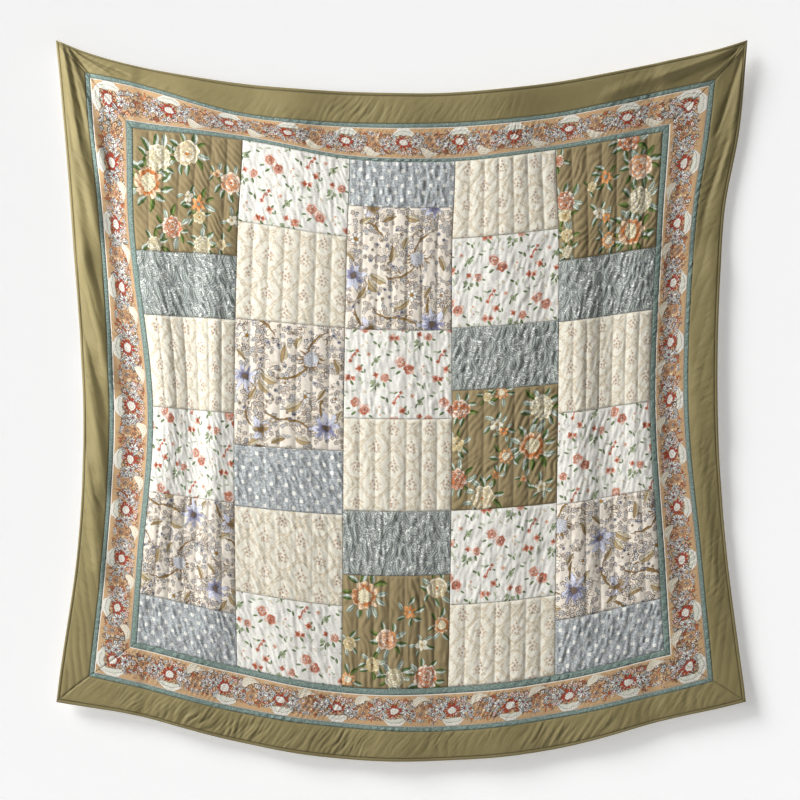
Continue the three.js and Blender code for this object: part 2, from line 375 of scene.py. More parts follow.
# A closed sheet: a fine front, a coarser back and a rim. flatPlace() takes shares along and across the piece.
def sheetMesh(name, flatPlace, relief, along, across):
    coarse = 3  # front cells to one of the back's
    s, r = np.meshgrid(np.linspace(0, 1, along + 1), np.linspace(0, 1, across + 1))
    flatX, flatY = flatPlace(s, r)
    proud, paintedShade = relief(flatX, flatY, s, r)
    folded = smallFoldsAt(flatX, flatY)
    half = quilt["thickness"] / 2
    front = hang(flatX, flatY, np.maximum(proud, -1) + half + folded)
    sparse = np.ix_(np.arange(0, across + 1, coarse), np.arange(0, along + 1, coarse))
    back = hang(flatX[sparse], flatY[sparse], folded[sparse] - half - 0.3 * np.clip(proud[sparse], 0, 6))
    frontId = np.arange(flatX.size).reshape(flatX.shape)
    backId = np.arange(flatX[sparse].size).reshape(flatX[sparse].shape) + flatX.size

    def quads(ids, turned):
        a, b, c, d = ids[:-1, :-1], ids[:-1, 1:], ids[1:, 1:], ids[1:, :-1]
        return np.stack([a, b, c, d] if turned else [a, d, c, b], -1).reshape(-1, 4)

    # flat directions decide which way round the front's corners go
    runX, runY = flatX[0, 1] - flatX[0, 0], flatY[0, 1] - flatY[0, 0]
    sideX, sideY = flatX[1, 0] - flatX[0, 0], flatY[1, 0] - flatY[0, 0]
    mirrored = runX * sideY - runY * sideX < 0
    frontFaces, backFaces = quads(frontId, mirrored), quads(backId, not mirrored)
    rim = []
    edges = [(frontId[0], backId[0], mirrored), (frontId[-1], backId[-1], not mirrored)]
    edges += [(frontId[:, 0], backId[:, 0], not mirrored), (frontId[:, -1], backId[:, -1], mirrored)]
    for fine, plain, turned in edges:
        for k in range(len(plain) - 1):
            ring = [*fine[k * coarse : (k + 1) * coarse + 1], plain[k + 1], plain[k]]
            rim.append(ring if not turned else ring[::-1])
    mesh = bpy.data.meshes.new(name)
    faces = frontFaces.tolist() + backFaces.tolist() + [list(map(int, ring)) for ring in rim]
    mesh.from_pydata(np.concatenate([front.reshape(-1, 3), back.reshape(-1, 3)]).tolist(), [], faces)
    mesh.shade_smooth()
    rimStart = len(frontFaces) + len(backFaces)
    order = np.arange(len(faces))
    mesh.attributes.new("sharp_face", "BOOLEAN", "FACE").data.foreach_set("value", order >= rimStart)
    onBack = (order >= len(frontFaces)) & (order < rimStart)
    mesh.polygons.foreach_set("material_index", onBack.astype(np.int32))
    # the flat place of every corner, in metres, is the piece's own UV map
    flatPlaces = ((flatX, flatY), (flatX[sparse], flatY[sparse]))
    flatAll = np.concatenate([np.stack(both, -1).reshape(-1, 2) for both in flatPlaces])
    corner = np.zeros(len(mesh.loops), np.int32)
    mesh.loops.foreach_get("vertex_index", corner)
    # painted shade for each corner's colour, a tenth as strong on the back
    paintedShadeValues = np.concatenate([paintedShade.ravel(), 0.1 * paintedShade[sparse].ravel()]).astype(np.float32)
    mesh.attributes.new("paintedShade", "FLOAT", "POINT").data.foreach_set("value", paintedShadeValues)
    mesh.uv_layers.new(name="flatCloth").data.foreach_set("uv", (flatAll[corner] / 1000).astype(np.float32).ravel())
    return {"piece": shown(name, mesh), "corners": flatAll[frontFaces], "faces": len(faces)}


def shown(name, data):
    made = bpy.data.objects.new(name, data)
    bpy.context.scene.collection.objects.link(made)
    return made


tallColumn = "oliveFloral paisleyPrint creamTrellis whiteRose jacobean grayDotted"
patchColumns = table(
    "seams prints",
    ((370, 566, 860, 1160, 1542), tallColumn),
    ((261, 562, 965, 1170, 1462), "whiteRose creamTrellis jacobean grayDotted creamCrinkled whiteRose"),
    ((156, 566, 858, 1156, 1360), "grayDotted jacobean whiteRose creamTrellis paisleyPrint oliveFloral"),
    ((262, 560, 766, 1156, 1458), "creamTrellis whiteRose paisleyPrint oliveFloral whiteRose creamTrellis"),
    ((368, 566, 864, 1162, 1542), tallColumn),
)
patchCells = {"across": 84, "pitch": 4.3}


def buildPatches():
    made = []
    for c, column in enumerate(patchColumns):
        seams = (0, *column["seams"], fullHeight - 2 * patchInset)
        x0 = patchInset - halfWidth + c * quilt["columnWidth"]
        x1 = x0 + quilt["columnWidth"]
        for n, kind in enumerate(column["prints"].split()):
            top, bottom, seed = patchInset + seams[n], patchInset + seams[n + 1], 40 * c + 7 * n
            flatPlace = lambda s, r: (mix(x0, x1, s), mix(top, bottom, r))
            relief = lambda x, y, s, r: patchRelief(kind, x, y, x0, x1, top, bottom, seed)
            down = 3 * round((bottom - top) / patchCells["pitch"] / 3)
            row = sheetMesh(f"patch_{c + 1}_{n + 1}_{kind}", flatPlace, relief, patchCells["across"], down)
            place = dict(left=x0, top=top, width=x1 - x0, height=bottom - top, column=c)
            made.append(dict(row, kind=kind, seed=seed, **place))
    return made


def innerLap(share):
    # between the top corners the floral border laps up to 10 mm over the inner strip
    return 10 * (1 - np.abs(2 * share - 1) ** 2.2)


def buildBands():
    made, outer = [], 0
    for name, width in bandWidths.items():
        for side in ("top", "right", "bottom", "left"):
            level = side in ("top", "bottom")

            def flatPlace(s, r):
                lap = innerLap(s) * (side == "top")
                inset = mix(outer + lap * (name == "inner_strip"), outer + width + lap * (name == "floral_border"), r)
                if level:
                    down = inset if side == "top" else fullHeight - inset
                    return mix(inset - halfWidth, halfWidth - inset, s), down
                return (inset - halfWidth if side == "left" else halfWidth - inset), mix(inset, fullHeight - inset, s)

            def relief(x, y, s, r):
                along, inward = (x if level else y), r * width
                proud, paintedShade = bandRelief(name, side, along, inward, width, 300 + 10 * len(made))
                fromEnd = np.minimum(s, 1 - s)
                # painted shade where a band's ends meet the next band at the corners
                paintedEndShade = 0.8 * np.exp(-((fromEnd * gathering["endShade"]) ** 2))
                return proud * smooth(fromEnd * gathering["endFade"]), np.maximum(paintedShade, paintedEndShade)

            row = sheetMesh(f"{name}_{side}_cloth", flatPlace, relief, *bandFinish[name]["cells"])
            made.append(dict(row, kind=name, side=side, width=width, outer=outer))
        outer += width
    return made


patches = buildPatches()
print("patches cut and hung:", len(patches))
bandPieces = buildBands()
print("bands cut and hung:", len(bandPieces))


# Prints. A motif is drawn in its own round coordinates, which each face of the cloth carries for its nearest motif.

def tint(code):
    channels = [int(code[k : k + 2], 16) / 255 for k in (0, 2, 4)]
    return [c / 12.92 if c <= 0.04045 else ((c + 0.055) / 1.055) ** 2.4 for c in channels]


# petals in each ring; pointed, streak and outline from 0 to 1; heart as a share of the radius;
# pen as a share of the usual outline, and oval as height over width, both 1 unless given
bloomKinds = tableByKind(
    "petals rings pointed heart streak outline fill edge line core pen oval",
    ("bigPeach", 11, 2, 0.2, 0.5, 0.7, 0.9, "c4763c", "f2d8b6", "8a5630", "e6dfbe"),
    ("sunPeach", 9, 1, 0.15, 0.5, 0.6, 0.8, "c87c3c", "e8b07c", "8a4f2a", "ece5c8"),
    ("clusterCream", 12, 4, 0.6, 0.05, 0.1, 0.75, "d3c9a4", "f3eedb", "8f7c52", "c9a56a"),
    ("peonyWhite", 6, 3, 0.0, 0.15, 0.5, 0.75, "d6c69e", "f6f0dc", "a08350", "c8762e"),
    ("peonyPeach", 6, 3, 0.05, 0.14, 0.5, 0.8, "d8965e", "f7e8d2", "a8623c", "c8662f"),
    ("dahlia", 10, 3, 0.5, 0.1, 0.3, 0.95, "c6703a", "f7ecda", "8c4c28", "d59a60"),
    ("orangeSix", 6, 1, 0.6, 0.24, 0.6, 0.6, "d68646", "e9a86c", "98562e", "9fb0a0"),
    ("smallWhite", 5, 1, 0.0, 0.2, 0.5, 0.6, "d8cfb0", "f4efdc", "92815a", "c0964e"),
    ("smallCream", 6, 2, 0.1, 0.15, 0.5, 0.7, "cdb884", "ece2c0", "92773e", "bf8038"),
    ("bud", 3, 1, 0.5, 0.1, 0.5, 0.6, "c8864e", "eac8a0", "92533a", "a8633a"),
    ("roseLight", 5, 2, 0.45, 0.12, 0.5, 0.9, "cc8263", "fbeee4", "b06a4a", "bd6a4a", 0.65),
    ("roseDark", 5, 2, 0.45, 0.12, 0.5, 0.9, "ba644a", "f2cfbc", "8d4830", "a25238", 0.65),
    ("roseTiny", 4, 1, 0.3, 0.2, 0.4, 0.9, "bf6b4d", "f2c8b4", "964e38", "9c4a32", 0.6),
    ("rosePink", 4, 1, 0.3, 0.25, 0.0, 0.6, "dcb49e", "e8cab8", "bd8468", "bd7a5c"),
    ("clover", 4, 1, 0.1, 0.16, 0.0, 0.8, "9aa684", "b6bf9e", "546640", "5c7044"),
    ("sprigMauve", 5, 1, 0.4, 0.3, 0.0, 0.4, "cfbca8", "dccdba", "b59c88", "a58674"),
    ("sprigBud", 3, 1, 0.5, 0.4, 0.0, 0.4, "bda08c", "ccb4a0", "a98a76", "a17c6a"),
    ("slateBig", 8, 1, 0.75, 0.2, 0.7, 1.0, "8e8dac", "dddeeb", "37354a", "7c6a56", 1.7),
    ("slateStar", 6, 1, 0.75, 0.2, 0.8, 1.0, "a88d5c", "d9dae8", "3a384a", "84663a", 1.6),
    ("sunHooked", 18, 1, 0.9, 0.55, 0.9, 1.0, "9a7c4c", "8a6c40", "5f4828", "d0d3da"),
    ("starWhite", 6, 1, 0.45, 0.26, 0.3, 1.0, "efece4", "f7f5ee", "66492a", "b08848", 1.5),
    ("tinyBlue", 5, 1, 0.3, 0.35, 0.0, 1.0, "9a9daf", "bcc0cc", "403e4e", "6a5a48"),
    ("tinyBrown", 5, 1, 0.4, 0.35, 0.0, 1.0, "c4b08c", "dccfb0", "604822", "74789a"),
    ("emblem", 13, 1, 0.4, 0.48, 0.0, 1.0, "92301e", "a23c28", "7c2418", "e9e9dd", 1.0, 0.76),
    ("fanBlue", 9, 1, 0.85, 0.2, 0.9, 1.0, "cdd2ce", "f2f2ee", "454447", "a8482f", 1.1),
    ("bloomRust", 9, 2, 0.75, 0.2, 0.8, 0.9, "c8986a", "ecd4ac", "6f3a28", "8a9090"),
    ("dotRed", 5, 1, 0.2, 0.3, 0.0, 1.0, "f2eee4", "f6f3ea", "94503e", "b04a36"),
    ("dotBlue", 5, 1, 0.2, 0.3, 0.0, 1.0, "e4e9e8", "f0f2ee", "5c6468", "84504a"),
)
# wide is the width over the length; paisley and vein from 0 to 1
leafKinds = tableByKind(
    "wide bend paisley vein fill edge line",
    ("leafFrosted", 0.44, 0.12, 0, 0.8, "4b6129", "d0d8cc", "4a5f40"),
    ("leafGreen", 0.36, -0.14, 0, 0.6, "43571f", "7c8e4a", "384a1c"),
    ("leafPale", 0.42, 0.1, 0, 0.9, "b0bcae", "dee3d8", "4f6346"),
    ("leafSmall", 0.42, 0.1, 0, 0.4, "5c7640", "93a678", "40582e"),
    ("leafFaint", 0.4, 0.15, 0, 0.0, "b2ba9e", "c6cdb6", "93a080"),
    ("leafTan", 0.4, 0.2, 0, 0.0, "d3c3a8", "ddd0b8", "bba78b"),
    ("stemCoral", 0.14, 0.35, 0, 0.0, "cf7f68", "cf7f68", "b8604c"),
    ("featherGold", 0.42, 0.18, 0, 1.0, "ddd2b6", "c4ac80", "5c4622"),
    ("featherBrown", 0.36, -0.2, 0, 1.0, "cfc0a2", "a98f63", "523e20"),
    ("vineGold", 0.07, 0.34, 0, 0.0, "83663c", "977a48", "6c5230"),
    ("vineBack", 0.07, -0.3, 0, 0.0, "83663c", "977a48", "6c5230"),
    ("commaCream", 0.4, 0.4, 1, 0.6, "efe8d6", "e6dfca", "8f7a62"),
    ("crescent", 0.36, -0.42, 0, 0.8, "f2eee2", "e2e4d6", "847868"),
    ("sprigRust", 0.22, 0.25, 0, 0.3, "bd6638", "cc8450", "84402a"),
    ("bladeBlue", 0.3, 0.16, 0, 0.8, "e8eae5", "b2b8b5", "474448"),
    ("paisleySlate", 0.56, 0.36, 1, 1.0, "c2c7bd", "b4bab2", "525c62"),
    ("paisleyBack", 0.56, -0.36, 1, 1.0, "b4bab2", "c4c9bf", "4e585e"),
)
# what each layer's faces carry: four shape numbers, then colours whose fourth number is named beside them
motifLayers = {
    "bloom": dict(kinds=bloomKinds, shape="petals rings pointed heart".split(), stretch=1.0,
                  colours={"Fill": "streak", "Edge": "outline", "Line": "size", "Core": "pen"}),
    "leaf": dict(kinds=leafKinds, shape="wide bend paisley vein".split(), stretch=1.7,
                 colours={"Fill": None, "Edge": None, "Line": "size"}),
}
motifReach, searchReach = 1.35, 1.4  # in radii: as far as a motif owns the faces about it, and is looked for
nowhere = 9.0  # a place outside every motif


def motif(kind, x, y, size, turn=0.0, spin=0.0):
    return dict(kind=kind, x=x, y=y, size=size, turn=turn, spin=spin)


def carryMotifs(row, layer, motifs, corners):
    look, mesh = motifLayers[layer], row["piece"].data
    centre = corners.mean(axis=1)
    owner = np.full(len(centre), -1)
    best = np.full(len(centre), motifReach)
    for k, one in enumerate(motifs):
        near = np.flatnonzero(np.abs(centre - (one["x"], one["y"])).max(axis=1) < searchReach * one["size"])
        if not len(near):
            continue
        dx, dy = (centre[near] - (one["x"], one["y"])).T / one["size"]
        c, s = math.cos(one["turn"]), math.sin(one["turn"])
        away = np.hypot(dx * c + dy * s, (dy * c - dx * s) * look["stretch"])
        closer = away < best[near]
        owner[near[closer]], best[near[closer]] = k, away[closer]
    held = np.flatnonzero(owner >= 0)
    place = np.full((len(mesh.loops), 3), nowhere, np.float32)
    marks = {name: np.zeros((row["faces"], 4), np.float32) for name in ("Shape", *look["colours"])}
    if len(held):
        each = lambda values: np.array(values)[owner[held]]
        keys = ("x", "y", "size", "turn", "spin")
        x, y, size, turn, spin = (each([one[key] for one in motifs])[:, None] for key in keys)
        kinds = [dict({"pen": 1, "oval": 1}, **look["kinds"][one["kind"]], size=one["size"]) for one in motifs]
        dx, dy = (corners[held, :, 0] - x) / size, (corners[held, :, 1] - y) / size
        level = (dy * np.cos(turn) - dx * np.sin(turn)) / each([kind["oval"] for kind in kinds])[:, None]
        local = np.stack([dx * np.cos(turn) + dy * np.sin(turn), level, spin + 0 * dx], -1)
        place[: 4 * len(corners)].reshape(-1, 4, 3)[held] = local
        marks["Shape"][held] = each([[kind[name] for name in look["shape"]] for kind in kinds])
        for name, fourth in look["colours"].items():
            marks[name][held] = each([[*tint(kind[name.lower()]), kind.get(fourth, 0)] for kind in kinds])
    mesh.attributes.new(layer + "Place", "FLOAT_VECTOR", "CORNER").data.foreach_set("vector", place.ravel())
    for name, values in marks.items():
        mesh.attributes.new(layer + name, "FLOAT_COLOR", "FACE").data.foreach_set("color", values.ravel())


# Where the blooms sit in the olive patch of each column that has one, the first column being 0:
# kind, across and down from the patch's top left corner, and radius, in millimetres
oliveBlooms = {
    0: [
        ("bigPeach", 53, 161, 52), ("clusterCream", 83, 85, 45), ("peonyWhite", 178, 63, 43),
        ("peonyPeach", 326, 145, 36), ("orangeSix", 224, 220, 29), ("smallWhite", 188, 198, 18),
        ("smallCream", 228, 259, 22), ("dahlia", 136, 294, 38), ("clusterCream", 239, 346, 32),
        ("smallCream", 303, 338, 18), ("bud", 278, 120, 15), ("smallWhite", 338, 261, 20),
        ("clusterCream", 71, 350, 28),
    ],
    2: [
        ("bigPeach", 72, 65, 50), ("dahlia", 281, 325, 42), ("orangeSix", 222, 114, 27), ("peonyPeach", 150, 203, 36),
        ("smallCream", 101, 284, 28), ("peonyWhite", 314, 42, 36), ("clusterCream", 178, 325, 34),
        ("smallCream", 24, 219, 24), ("smallWhite", 266, 222, 22), ("bigPeach", 330, 160, 30),
        ("sunPeach", 20, 335, 26),
    ],
    3: [
        ("bigPeach", 268, 196, 50), ("sunPeach", 178, 222, 30), ("smallWhite", 146, 118, 23),
        ("orangeSix", 170, 141, 19), ("clusterCream", 300, 72, 44), ("dahlia", 26, 62, 35),
        ("smallCream", 14, 175, 28), ("dahlia", 18, 290, 38), ("peonyWhite", 103, 352, 42),
        ("orangeSix", 145, 282, 16), ("sunPeach", 162, 14, 25), ("smallCream", 115, 26, 16),
        ("smallWhite", 300, 330, 24), ("bud", 240, 300, 15),
    ],
    4: [
        ("dahlia", 246, 8, 42), ("peonyPeach", 286, 100, 44), ("orangeSix", 168, 118, 27),
        ("smallCream", 119, 142, 18), ("clusterCream", 289, 212, 46), ("dahlia", 26, 175, 36),
        ("smallCream", 23, 222, 24), ("smallWhite", 144, 232, 22), ("orangeSix", 168, 249, 20),
        ("sunPeach", 178, 322, 31), ("bigPeach", 261, 306, 50), ("dahlia", 6, 40, 22), ("smallCream", 28, 286, 24),
        ("clusterCream", 30, 342, 22),
    ],
}
# how many leaves stand round a bloom, their half lengths, and how unevenly they spread, reach out and turn
oliveLeaves = {
    "perRadius": 0.24, "fewest": 3, "least": 10, "perSize": 0.27, "lengths": (0.8, 1.15),
    "spread": 0.3, "reaches": (0.85, 1.0), "out": 0.6, "twist": 0.5,
    "kinds": ("leafFrosted", "leafGreen", "leafPale", "leafFrosted"),
}
wholeTurn = 6.28  # a random turn stays just short of a full one


def oliveMotifs(row, rng):
    blooms, leaves, look = [], [], oliveLeaves
    for kind, x, y, size in oliveBlooms[row["column"]]:
        x, y = row["left"] + x, row["top"] + y
        blooms.append(motif(kind, x, y, size, turn=rng.uniform(0, wholeTurn), spin=rng.uniform(0, 1)))
        count = max(look["fewest"], round(look["perRadius"] * size))
        start = rng.uniform(0, wholeTurn)
        for k in range(count):
            angle = start + wholeTurn * (k + rng.uniform(-look["spread"], look["spread"])) / count
            length = (look["least"] + look["perSize"] * size) * rng.uniform(*look["lengths"])
            reach = size * rng.uniform(*look["reaches"]) + length * look["out"]
            kind = look["kinds"][rng.integers(len(look["kinds"]))]
            leafX, leafY = x + reach * math.cos(angle), y + reach * math.sin(angle)
            twist = rng.uniform(-look["twist"], look["twist"])
            leaves.append(motif(kind, leafX, leafY, length, turn=angle + twist))
    return blooms, leaves


# One repeat of each print: kind, across and down from its start, radius or half length, and turn, if it is set.
# Members of one kind may share its name. outer and inner count the repeats; half moves every second outer line along.
roseRepeat = dict(
    stepX=290, stepY=135, outer=(-3, 5), inner=(-2, 3), upright=False, half=0.5,
    starts=((60, 20), (105, 62), (197, 115), (150, 92), (230, 30)),
    blooms=[
        ("roseLight", -13, -11, 22), ("roseDark", 15, 13, 21), ("roseLight", -64, 42, 17), ("roseTiny", -94, 33, 13),
        ("roseTiny", 104, 45, 16), ("roseTiny", 121, 46, 13), ("roseTiny", -11, 90, 9), ("roseTiny", -17, 103, 6),
        ("roseTiny", -33, 124, 10), ("clover", -93, -14, 14), ("rosePink", -118, -34, 10), ("roseTiny", 140, 14, 16),
        ("rosePink", 64, 3, 6), ("rosePink", 66, 28, 5), ("clover", -104, 58, 12), ("clover", -86, 66, 10),
    ],
    leaves={
        "leafSmall": [
            (-20, 25, 10, 2.5), (-38, 10, 8, 3.0), (36, 34, 8, 0.6), (-66, 64, 10, 1.2), (-46, 50, 8, 0.4),
            (118, 60, 10, 0.9), (152, 24, 7, 0.4), (48, 62, 9, 0.6), (62, 72, 8, 1.2), (76, -28, 9, 0.5),
            (90, -20, 9, 1.3), (-104, -2, 8, 1.9), (-84, -26, 8, -0.6), (-106, 70, 8, 2.6), (-94, 76, 8, 1.4),
            (-4, 104, 7, 0.3), (148, 4, 8, -0.9), (-54, -34, 8, 0.3), (-28, 92, 8, 2.7), (-130, 20, 7, 1.5),
        ],
        "leafFaint": [
            (146, 48, 10, 1.2), (152, 60, 8, 2.2), (-78, -70, 9, 1.9), (-40, 90, 9, 0.2), (84, 66, 9, 1.8),
            (78, 22, 8, 0.4), (-20, -48, 9, 2.9), (40, -52, 9, 2.4), (100, 90, 9, 0.3),
        ],
        "leafTan": [(20, 62, 8, 0.8), (6, 74, 7, 2.2), (-128, 88, 8, 0.9), (58, 16, 8, 1.6)],
        "stemCoral": [(-20, 110, 18, 2.0)],
    },
)
sprigRepeat = dict(
    stepX=59, stepY=118, outer=(-1, 8), inner=(-1, 5), upright=True, half=0.5, starts=((45, 32),), slip=2.5,
    blooms=[
        ("sprigBud", 1, -17, 5), ("sprigMauve", -8, -8, 7), ("sprigMauve", 7, -6, 7), ("sprigBud", -2, 3, 6),
        ("sprigMauve", -11, 5, 6), ("sprigMauve", 9, 7, 6), ("sprigBud", -3, 15, 5), ("sprigMauve", 6, 18, 5),
    ],
    leaves=[
        ("leafTan", -15, -2, 8, 2.6), ("leafTan", 15, 0, 8, 0.5), ("leafTan", -10, 14, 8, 2.2),
        ("leafTan", 13, 15, 7, 0.9), ("leafTan", 2, -25, 6, 1.5),
    ],
)
trailRepeat = dict(
    stepX=357, stepY=400, outer=(-1, 3), inner=(-2, 3), upright=False, half=0, turnPerMm=0.7,
    starts=((250, 130), (0, 0), (-10, 60), (0, 0), (120, -40)),
    blooms={
        "slateBig": [(300, 330, 60), (35, 175, 52)],
        "slateStar": [(92, 345, 44)],
        "sunHooked": [(250, 110, 46)],
        "starWhite": [(40, 50, 27), (232, 232, 24), (170, 190, 15), (330, 235, 18), (318, 196, 14)],
        "tinyBlue": [
            (120, 230, 9), (140, 216, 8), (156, 240, 8), (200, 290, 9), (188, 304, 8), (112, 66, 9), (146, 70, 8),
            (320, 30, 10), (338, 50, 8), (176, 16, 8), (90, 120, 8), (36, 276, 9), (262, 186, 8), (168, 138, 8),
        ],
        "tinyBrown": [
            (132, 246, 8), (112, 252, 7), (214, 302, 8), (178, 286, 7), (128, 52, 9), (96, 84, 7), (300, 18, 8),
            (192, 30, 9), (74, 108, 7), (20, 262, 9), (52, 262, 7), (150, 150, 8),
        ],
    },
    leaves={
        "featherBrown": [
            (160, 98, 30, 1.7), (60, 230, 26, 2.2), (330, 130, 26, 1.2), (150, 380, 26, -0.4), (286, 224, 22, -1.0),
            (20, 110, 22, 0.8),
        ],
        "featherGold": [
            (118, 178, 32, 0.5), (102, 205, 28, 0.9), (196, 262, 30, -0.5), (228, 372, 28, 0.3), (70, 390, 24, 2.6),
            (210, 60, 22, 2.0), (345, 290, 20, 2.0),
        ],
        "vineGold": [(190, 150, 62, -0.4), (300, 270, 52, 1.5), (60, 300, 50, 1.2), (140, 290, 48, 0.4)],
        "vineBack": [(196, 330, 66, 0.2), (90, 20, 56, 0.6), (270, 60, 50, -0.9)],
    },
)
paisleyRepeat = dict(
    stepX=70, stepY=56, outer=(-1, 6), inner=(-1, 8), upright=False, half=0.5, starts=((14, 20),),
    size=34, kinds=("paisleyBack", "paisleySlate"), turns=(2.2, 0.9), sway=0.2,
)
# The border's members are placed along the band from an emblem's middle, and inwards from the band's outer side.
borderRepeat = dict(
    repeats=10, pitch=187, cornerReach=60,
    blooms={
        "emblem": [(0, 54, 34, 0.15)],
        "fanBlue": [(-38, 62, 20, 1.0), (40, 58, 21, 2.0), (62, 44, 14, 0.7), (-66, 56, 15, 0.4)],
        "bloomRust": [(86, 44, 25, 0.3), (-92, 64, 14, 1.2)],
        "dotRed": [(20, 86, 9, 0), (4, 90, 8, 0), (-48, 34, 8, 0), (84, 31, 7, 0), (36, 84, 7, 0), (-56, 78, 7, 0)],
        "dotBlue": [
            (-14, 88, 8, 0), (-34, 30, 8, 0), (78, 22, 8, 0), (90, 22, 7, 0), (-70, 84, 7, 0), (52, 74, 7, 0),
        ],
    },
    leaves={
        "commaCream": [(90, 82, 34, 0.2)],
        "crescent": [(2, 31, 43, 0.05)],
        "bladeBlue": [
            (-22, 74, 16, 2.3), (20, 72, 15, 0.8), (34, 34, 15, -0.8), (-26, 40, 16, -2.4), (56, 62, 14, 0.5),
            (60, 30, 13, -0.4), (-54, 72, 14, 2.7), (-50, 46, 13, -2.6), (-72, 44, 12, 2.4),
        ],
        "sprigRust": [
            (-78, 34, 15, 0.5), (-70, 22, 12, 1.3), (98, 66, 13, 0.8), (64, 26, 12, 2.6), (-84, 72, 14, 2.9),
        ],
    },
)


def membersOf(group):
    if isinstance(group, dict):
        return [(kind, *one) for kind, members in group.items() for one in members]
    return group


def repeatPlaces(row, repeat):
    startX, startY = repeat["starts"][row["column"] % len(repeat["starts"])]
    for i in range(*repeat["outer"]):
        for j in range(*repeat["inner"]):
            moved = j + repeat["half"] * (i % 2)
            n, k = (i, moved) if repeat["upright"] else (moved, i)
            yield row["left"] + startX + repeat["stepX"] * n, row["top"] + startY + repeat["stepY"] * k, (i + j) % 2


def repeatMotifs(row, rng):
    repeat, blooms, leaves = repeatOf[row["kind"]], [], []
    slip = repeat.get("slip", 0)
    for x, y, _ in repeatPlaces(row, repeat):
        for made, group in ((blooms, repeat["blooms"]), (leaves, repeat["leaves"])):
            for kind, dx, dy, size, *turn in membersOf(group):
                angle = turn[0] if turn else repeat.get("turnPerMm", 0) * dx
                if slip:
                    dx, dy = dx + rng.uniform(-slip, slip), dy + rng.uniform(-slip, slip)
                if not turn and "turnPerMm" not in repeat:
                    angle = rng.uniform(0, wholeTurn)
                made.append(motif(kind, x + dx, y + dy, size, turn=angle))
    return blooms, leaves


def paisleyMotifs(row, rng):
    leaves, sway = [], paisleyRepeat["sway"]
    for x, y, odd in repeatPlaces(row, paisleyRepeat):
        turn = paisleyRepeat["turns"][odd] + rng.uniform(-sway, sway)
        leaves.append(motif(paisleyRepeat["kinds"][odd], x, y, paisleyRepeat["size"], turn=turn))
    return [], leaves


def borderMotifs(row, rng):
    blooms, leaves = [], []
    long = quilt["width"] if row["side"] in ("top", "bottom") else fullHeight
    start = row["outer"] + row["width"] / 2
    repeats = borderRepeat["repeats"]
    step = (long - 2 * start) / repeats
    for k in range(repeats + 1):
        for made, group in ((blooms, borderRepeat["blooms"]), (leaves, borderRepeat["leaves"])):
            for kind, dx, dy, size, turn in membersOf(group):
                if k not in (0, repeats) or abs(dx) <= borderRepeat["cornerReach"]:
                    along = start + k * step + dx * step / borderRepeat["pitch"]
                    made.append(motif(kind, along, dy, size, turn=turn))
    return blooms, leaves


def cornersOf(row):
    # a patch's corners as (across, down), and a band's as (along, inwards)
    if "side" not in row:
        return row["corners"]
    across, down = row["corners"][..., 0], row["corners"][..., 1]
    along = across + halfWidth if row["side"] in ("top", "bottom") else down
    fromSide = {"top": down, "bottom": fullHeight - down, "left": across + halfWidth, "right": halfWidth - across}
    inward = fromSide[row["side"]]
    depth = inward - row["outer"]
    if row["kind"] == "floral_border" and row["side"] == "top":
        lap = innerLap((along - inward) / (quilt["width"] - 2 * inward))
        depth = depth * row["width"] / (row["width"] + lap)
    return np.stack([along, depth], -1)


repeatOf = dict(whiteRose=roseRepeat, creamTrellis=sprigRepeat, creamCrinkled=sprigRepeat, jacobean=trailRepeat)
chartOf = dict.fromkeys(repeatOf, repeatMotifs)
chartOf.update(oliveFloral=oliveMotifs, paisleyPrint=paisleyMotifs, floral_border=borderMotifs)
firstSeed = 1000
for k, row in enumerate(patches + bandPieces):
    mesh, corners = row["piece"].data, cornersOf(row)
    if row["kind"] in chartOf:
        blooms, leaves = chartOf[row["kind"]](row, np.random.default_rng(firstSeed + k))
        carryMotifs(row, "bloom", blooms, corners)
        carryMotifs(row, "leaf", leaves, corners)
    # every front corner's place on its own piece, in millimetres: along and inwards, or from a patch's top left
    local = np.zeros((len(mesh.loops), 3), np.float32)
    local[: corners.shape[0] * 4, :2] = (corners - (row.get("left", 0), row.get("top", 0))).reshape(-1, 2)
    mesh.attributes.new("piecePlace", "FLOAT_VECTOR", "CORNER").data.foreach_set("vector", local.ravel())
print("prints laid out")


# Materials. A Signal is one value in a node tree, so that patterns can be written as sums.

class Signal:
    def __init__(self, tree, socket):
        self.tree, self.socket = tree, socket

    def __add__(self, other):
        return calc("ADD", self, other)

    def __sub__(self, other):
        return calc("SUBTRACT", self, other)

    def __rsub__(self, other):
        return calc("SUBTRACT", other, self)

    def __mul__(self, other):
        return calc("MULTIPLY", self, other)

    def __truediv__(self, other):
        return calc("DIVIDE", self, other)

    __radd__, __rmul__ = __add__, __mul__


def feed(tree, slot, value):
    if isinstance(value, Signal):
        tree.links.new(value.socket, slot)
    elif isinstance(value, bpy.types.NodeSocket):
        tree.links.new(value, slot)
    elif isinstance(value, (list, tuple)) and slot.type == "RGBA":
        slot.default_value = (*value[:3], 1)
    else:
        slot.default_value = value


def grow(tree, kind, feeds=(), **settings):
    # a new node with its settings, and what feeds its inputs by name or number
    node = tree.nodes.new(kind if "Node" in kind else "ShaderNode" + kind)
    for key, value in settings.items():
        setattr(node, key, value)
    for slot, value in feeds.items() if isinstance(feeds, dict) else enumerate(feeds):
        feed(tree, node.inputs[slot], value)
    return node


def calc(operation, *values):
    tree = next(value.tree for value in values if isinstance(value, Signal))
    return Signal(tree, grow(tree, "Math", values, operation=operation).outputs[0])


def ramp(value, low, high):
    node = grow(value.tree, "MapRange", (value, low, high), interpolation_type="SMOOTHSTEP")
    return Signal(value.tree, node.outputs[0])


def tone(share, first, second):
    return Signal(share.tree, grow(share.tree, "Mix", {0: share, 6: first, 7: second}, data_type="RGBA").outputs[2])


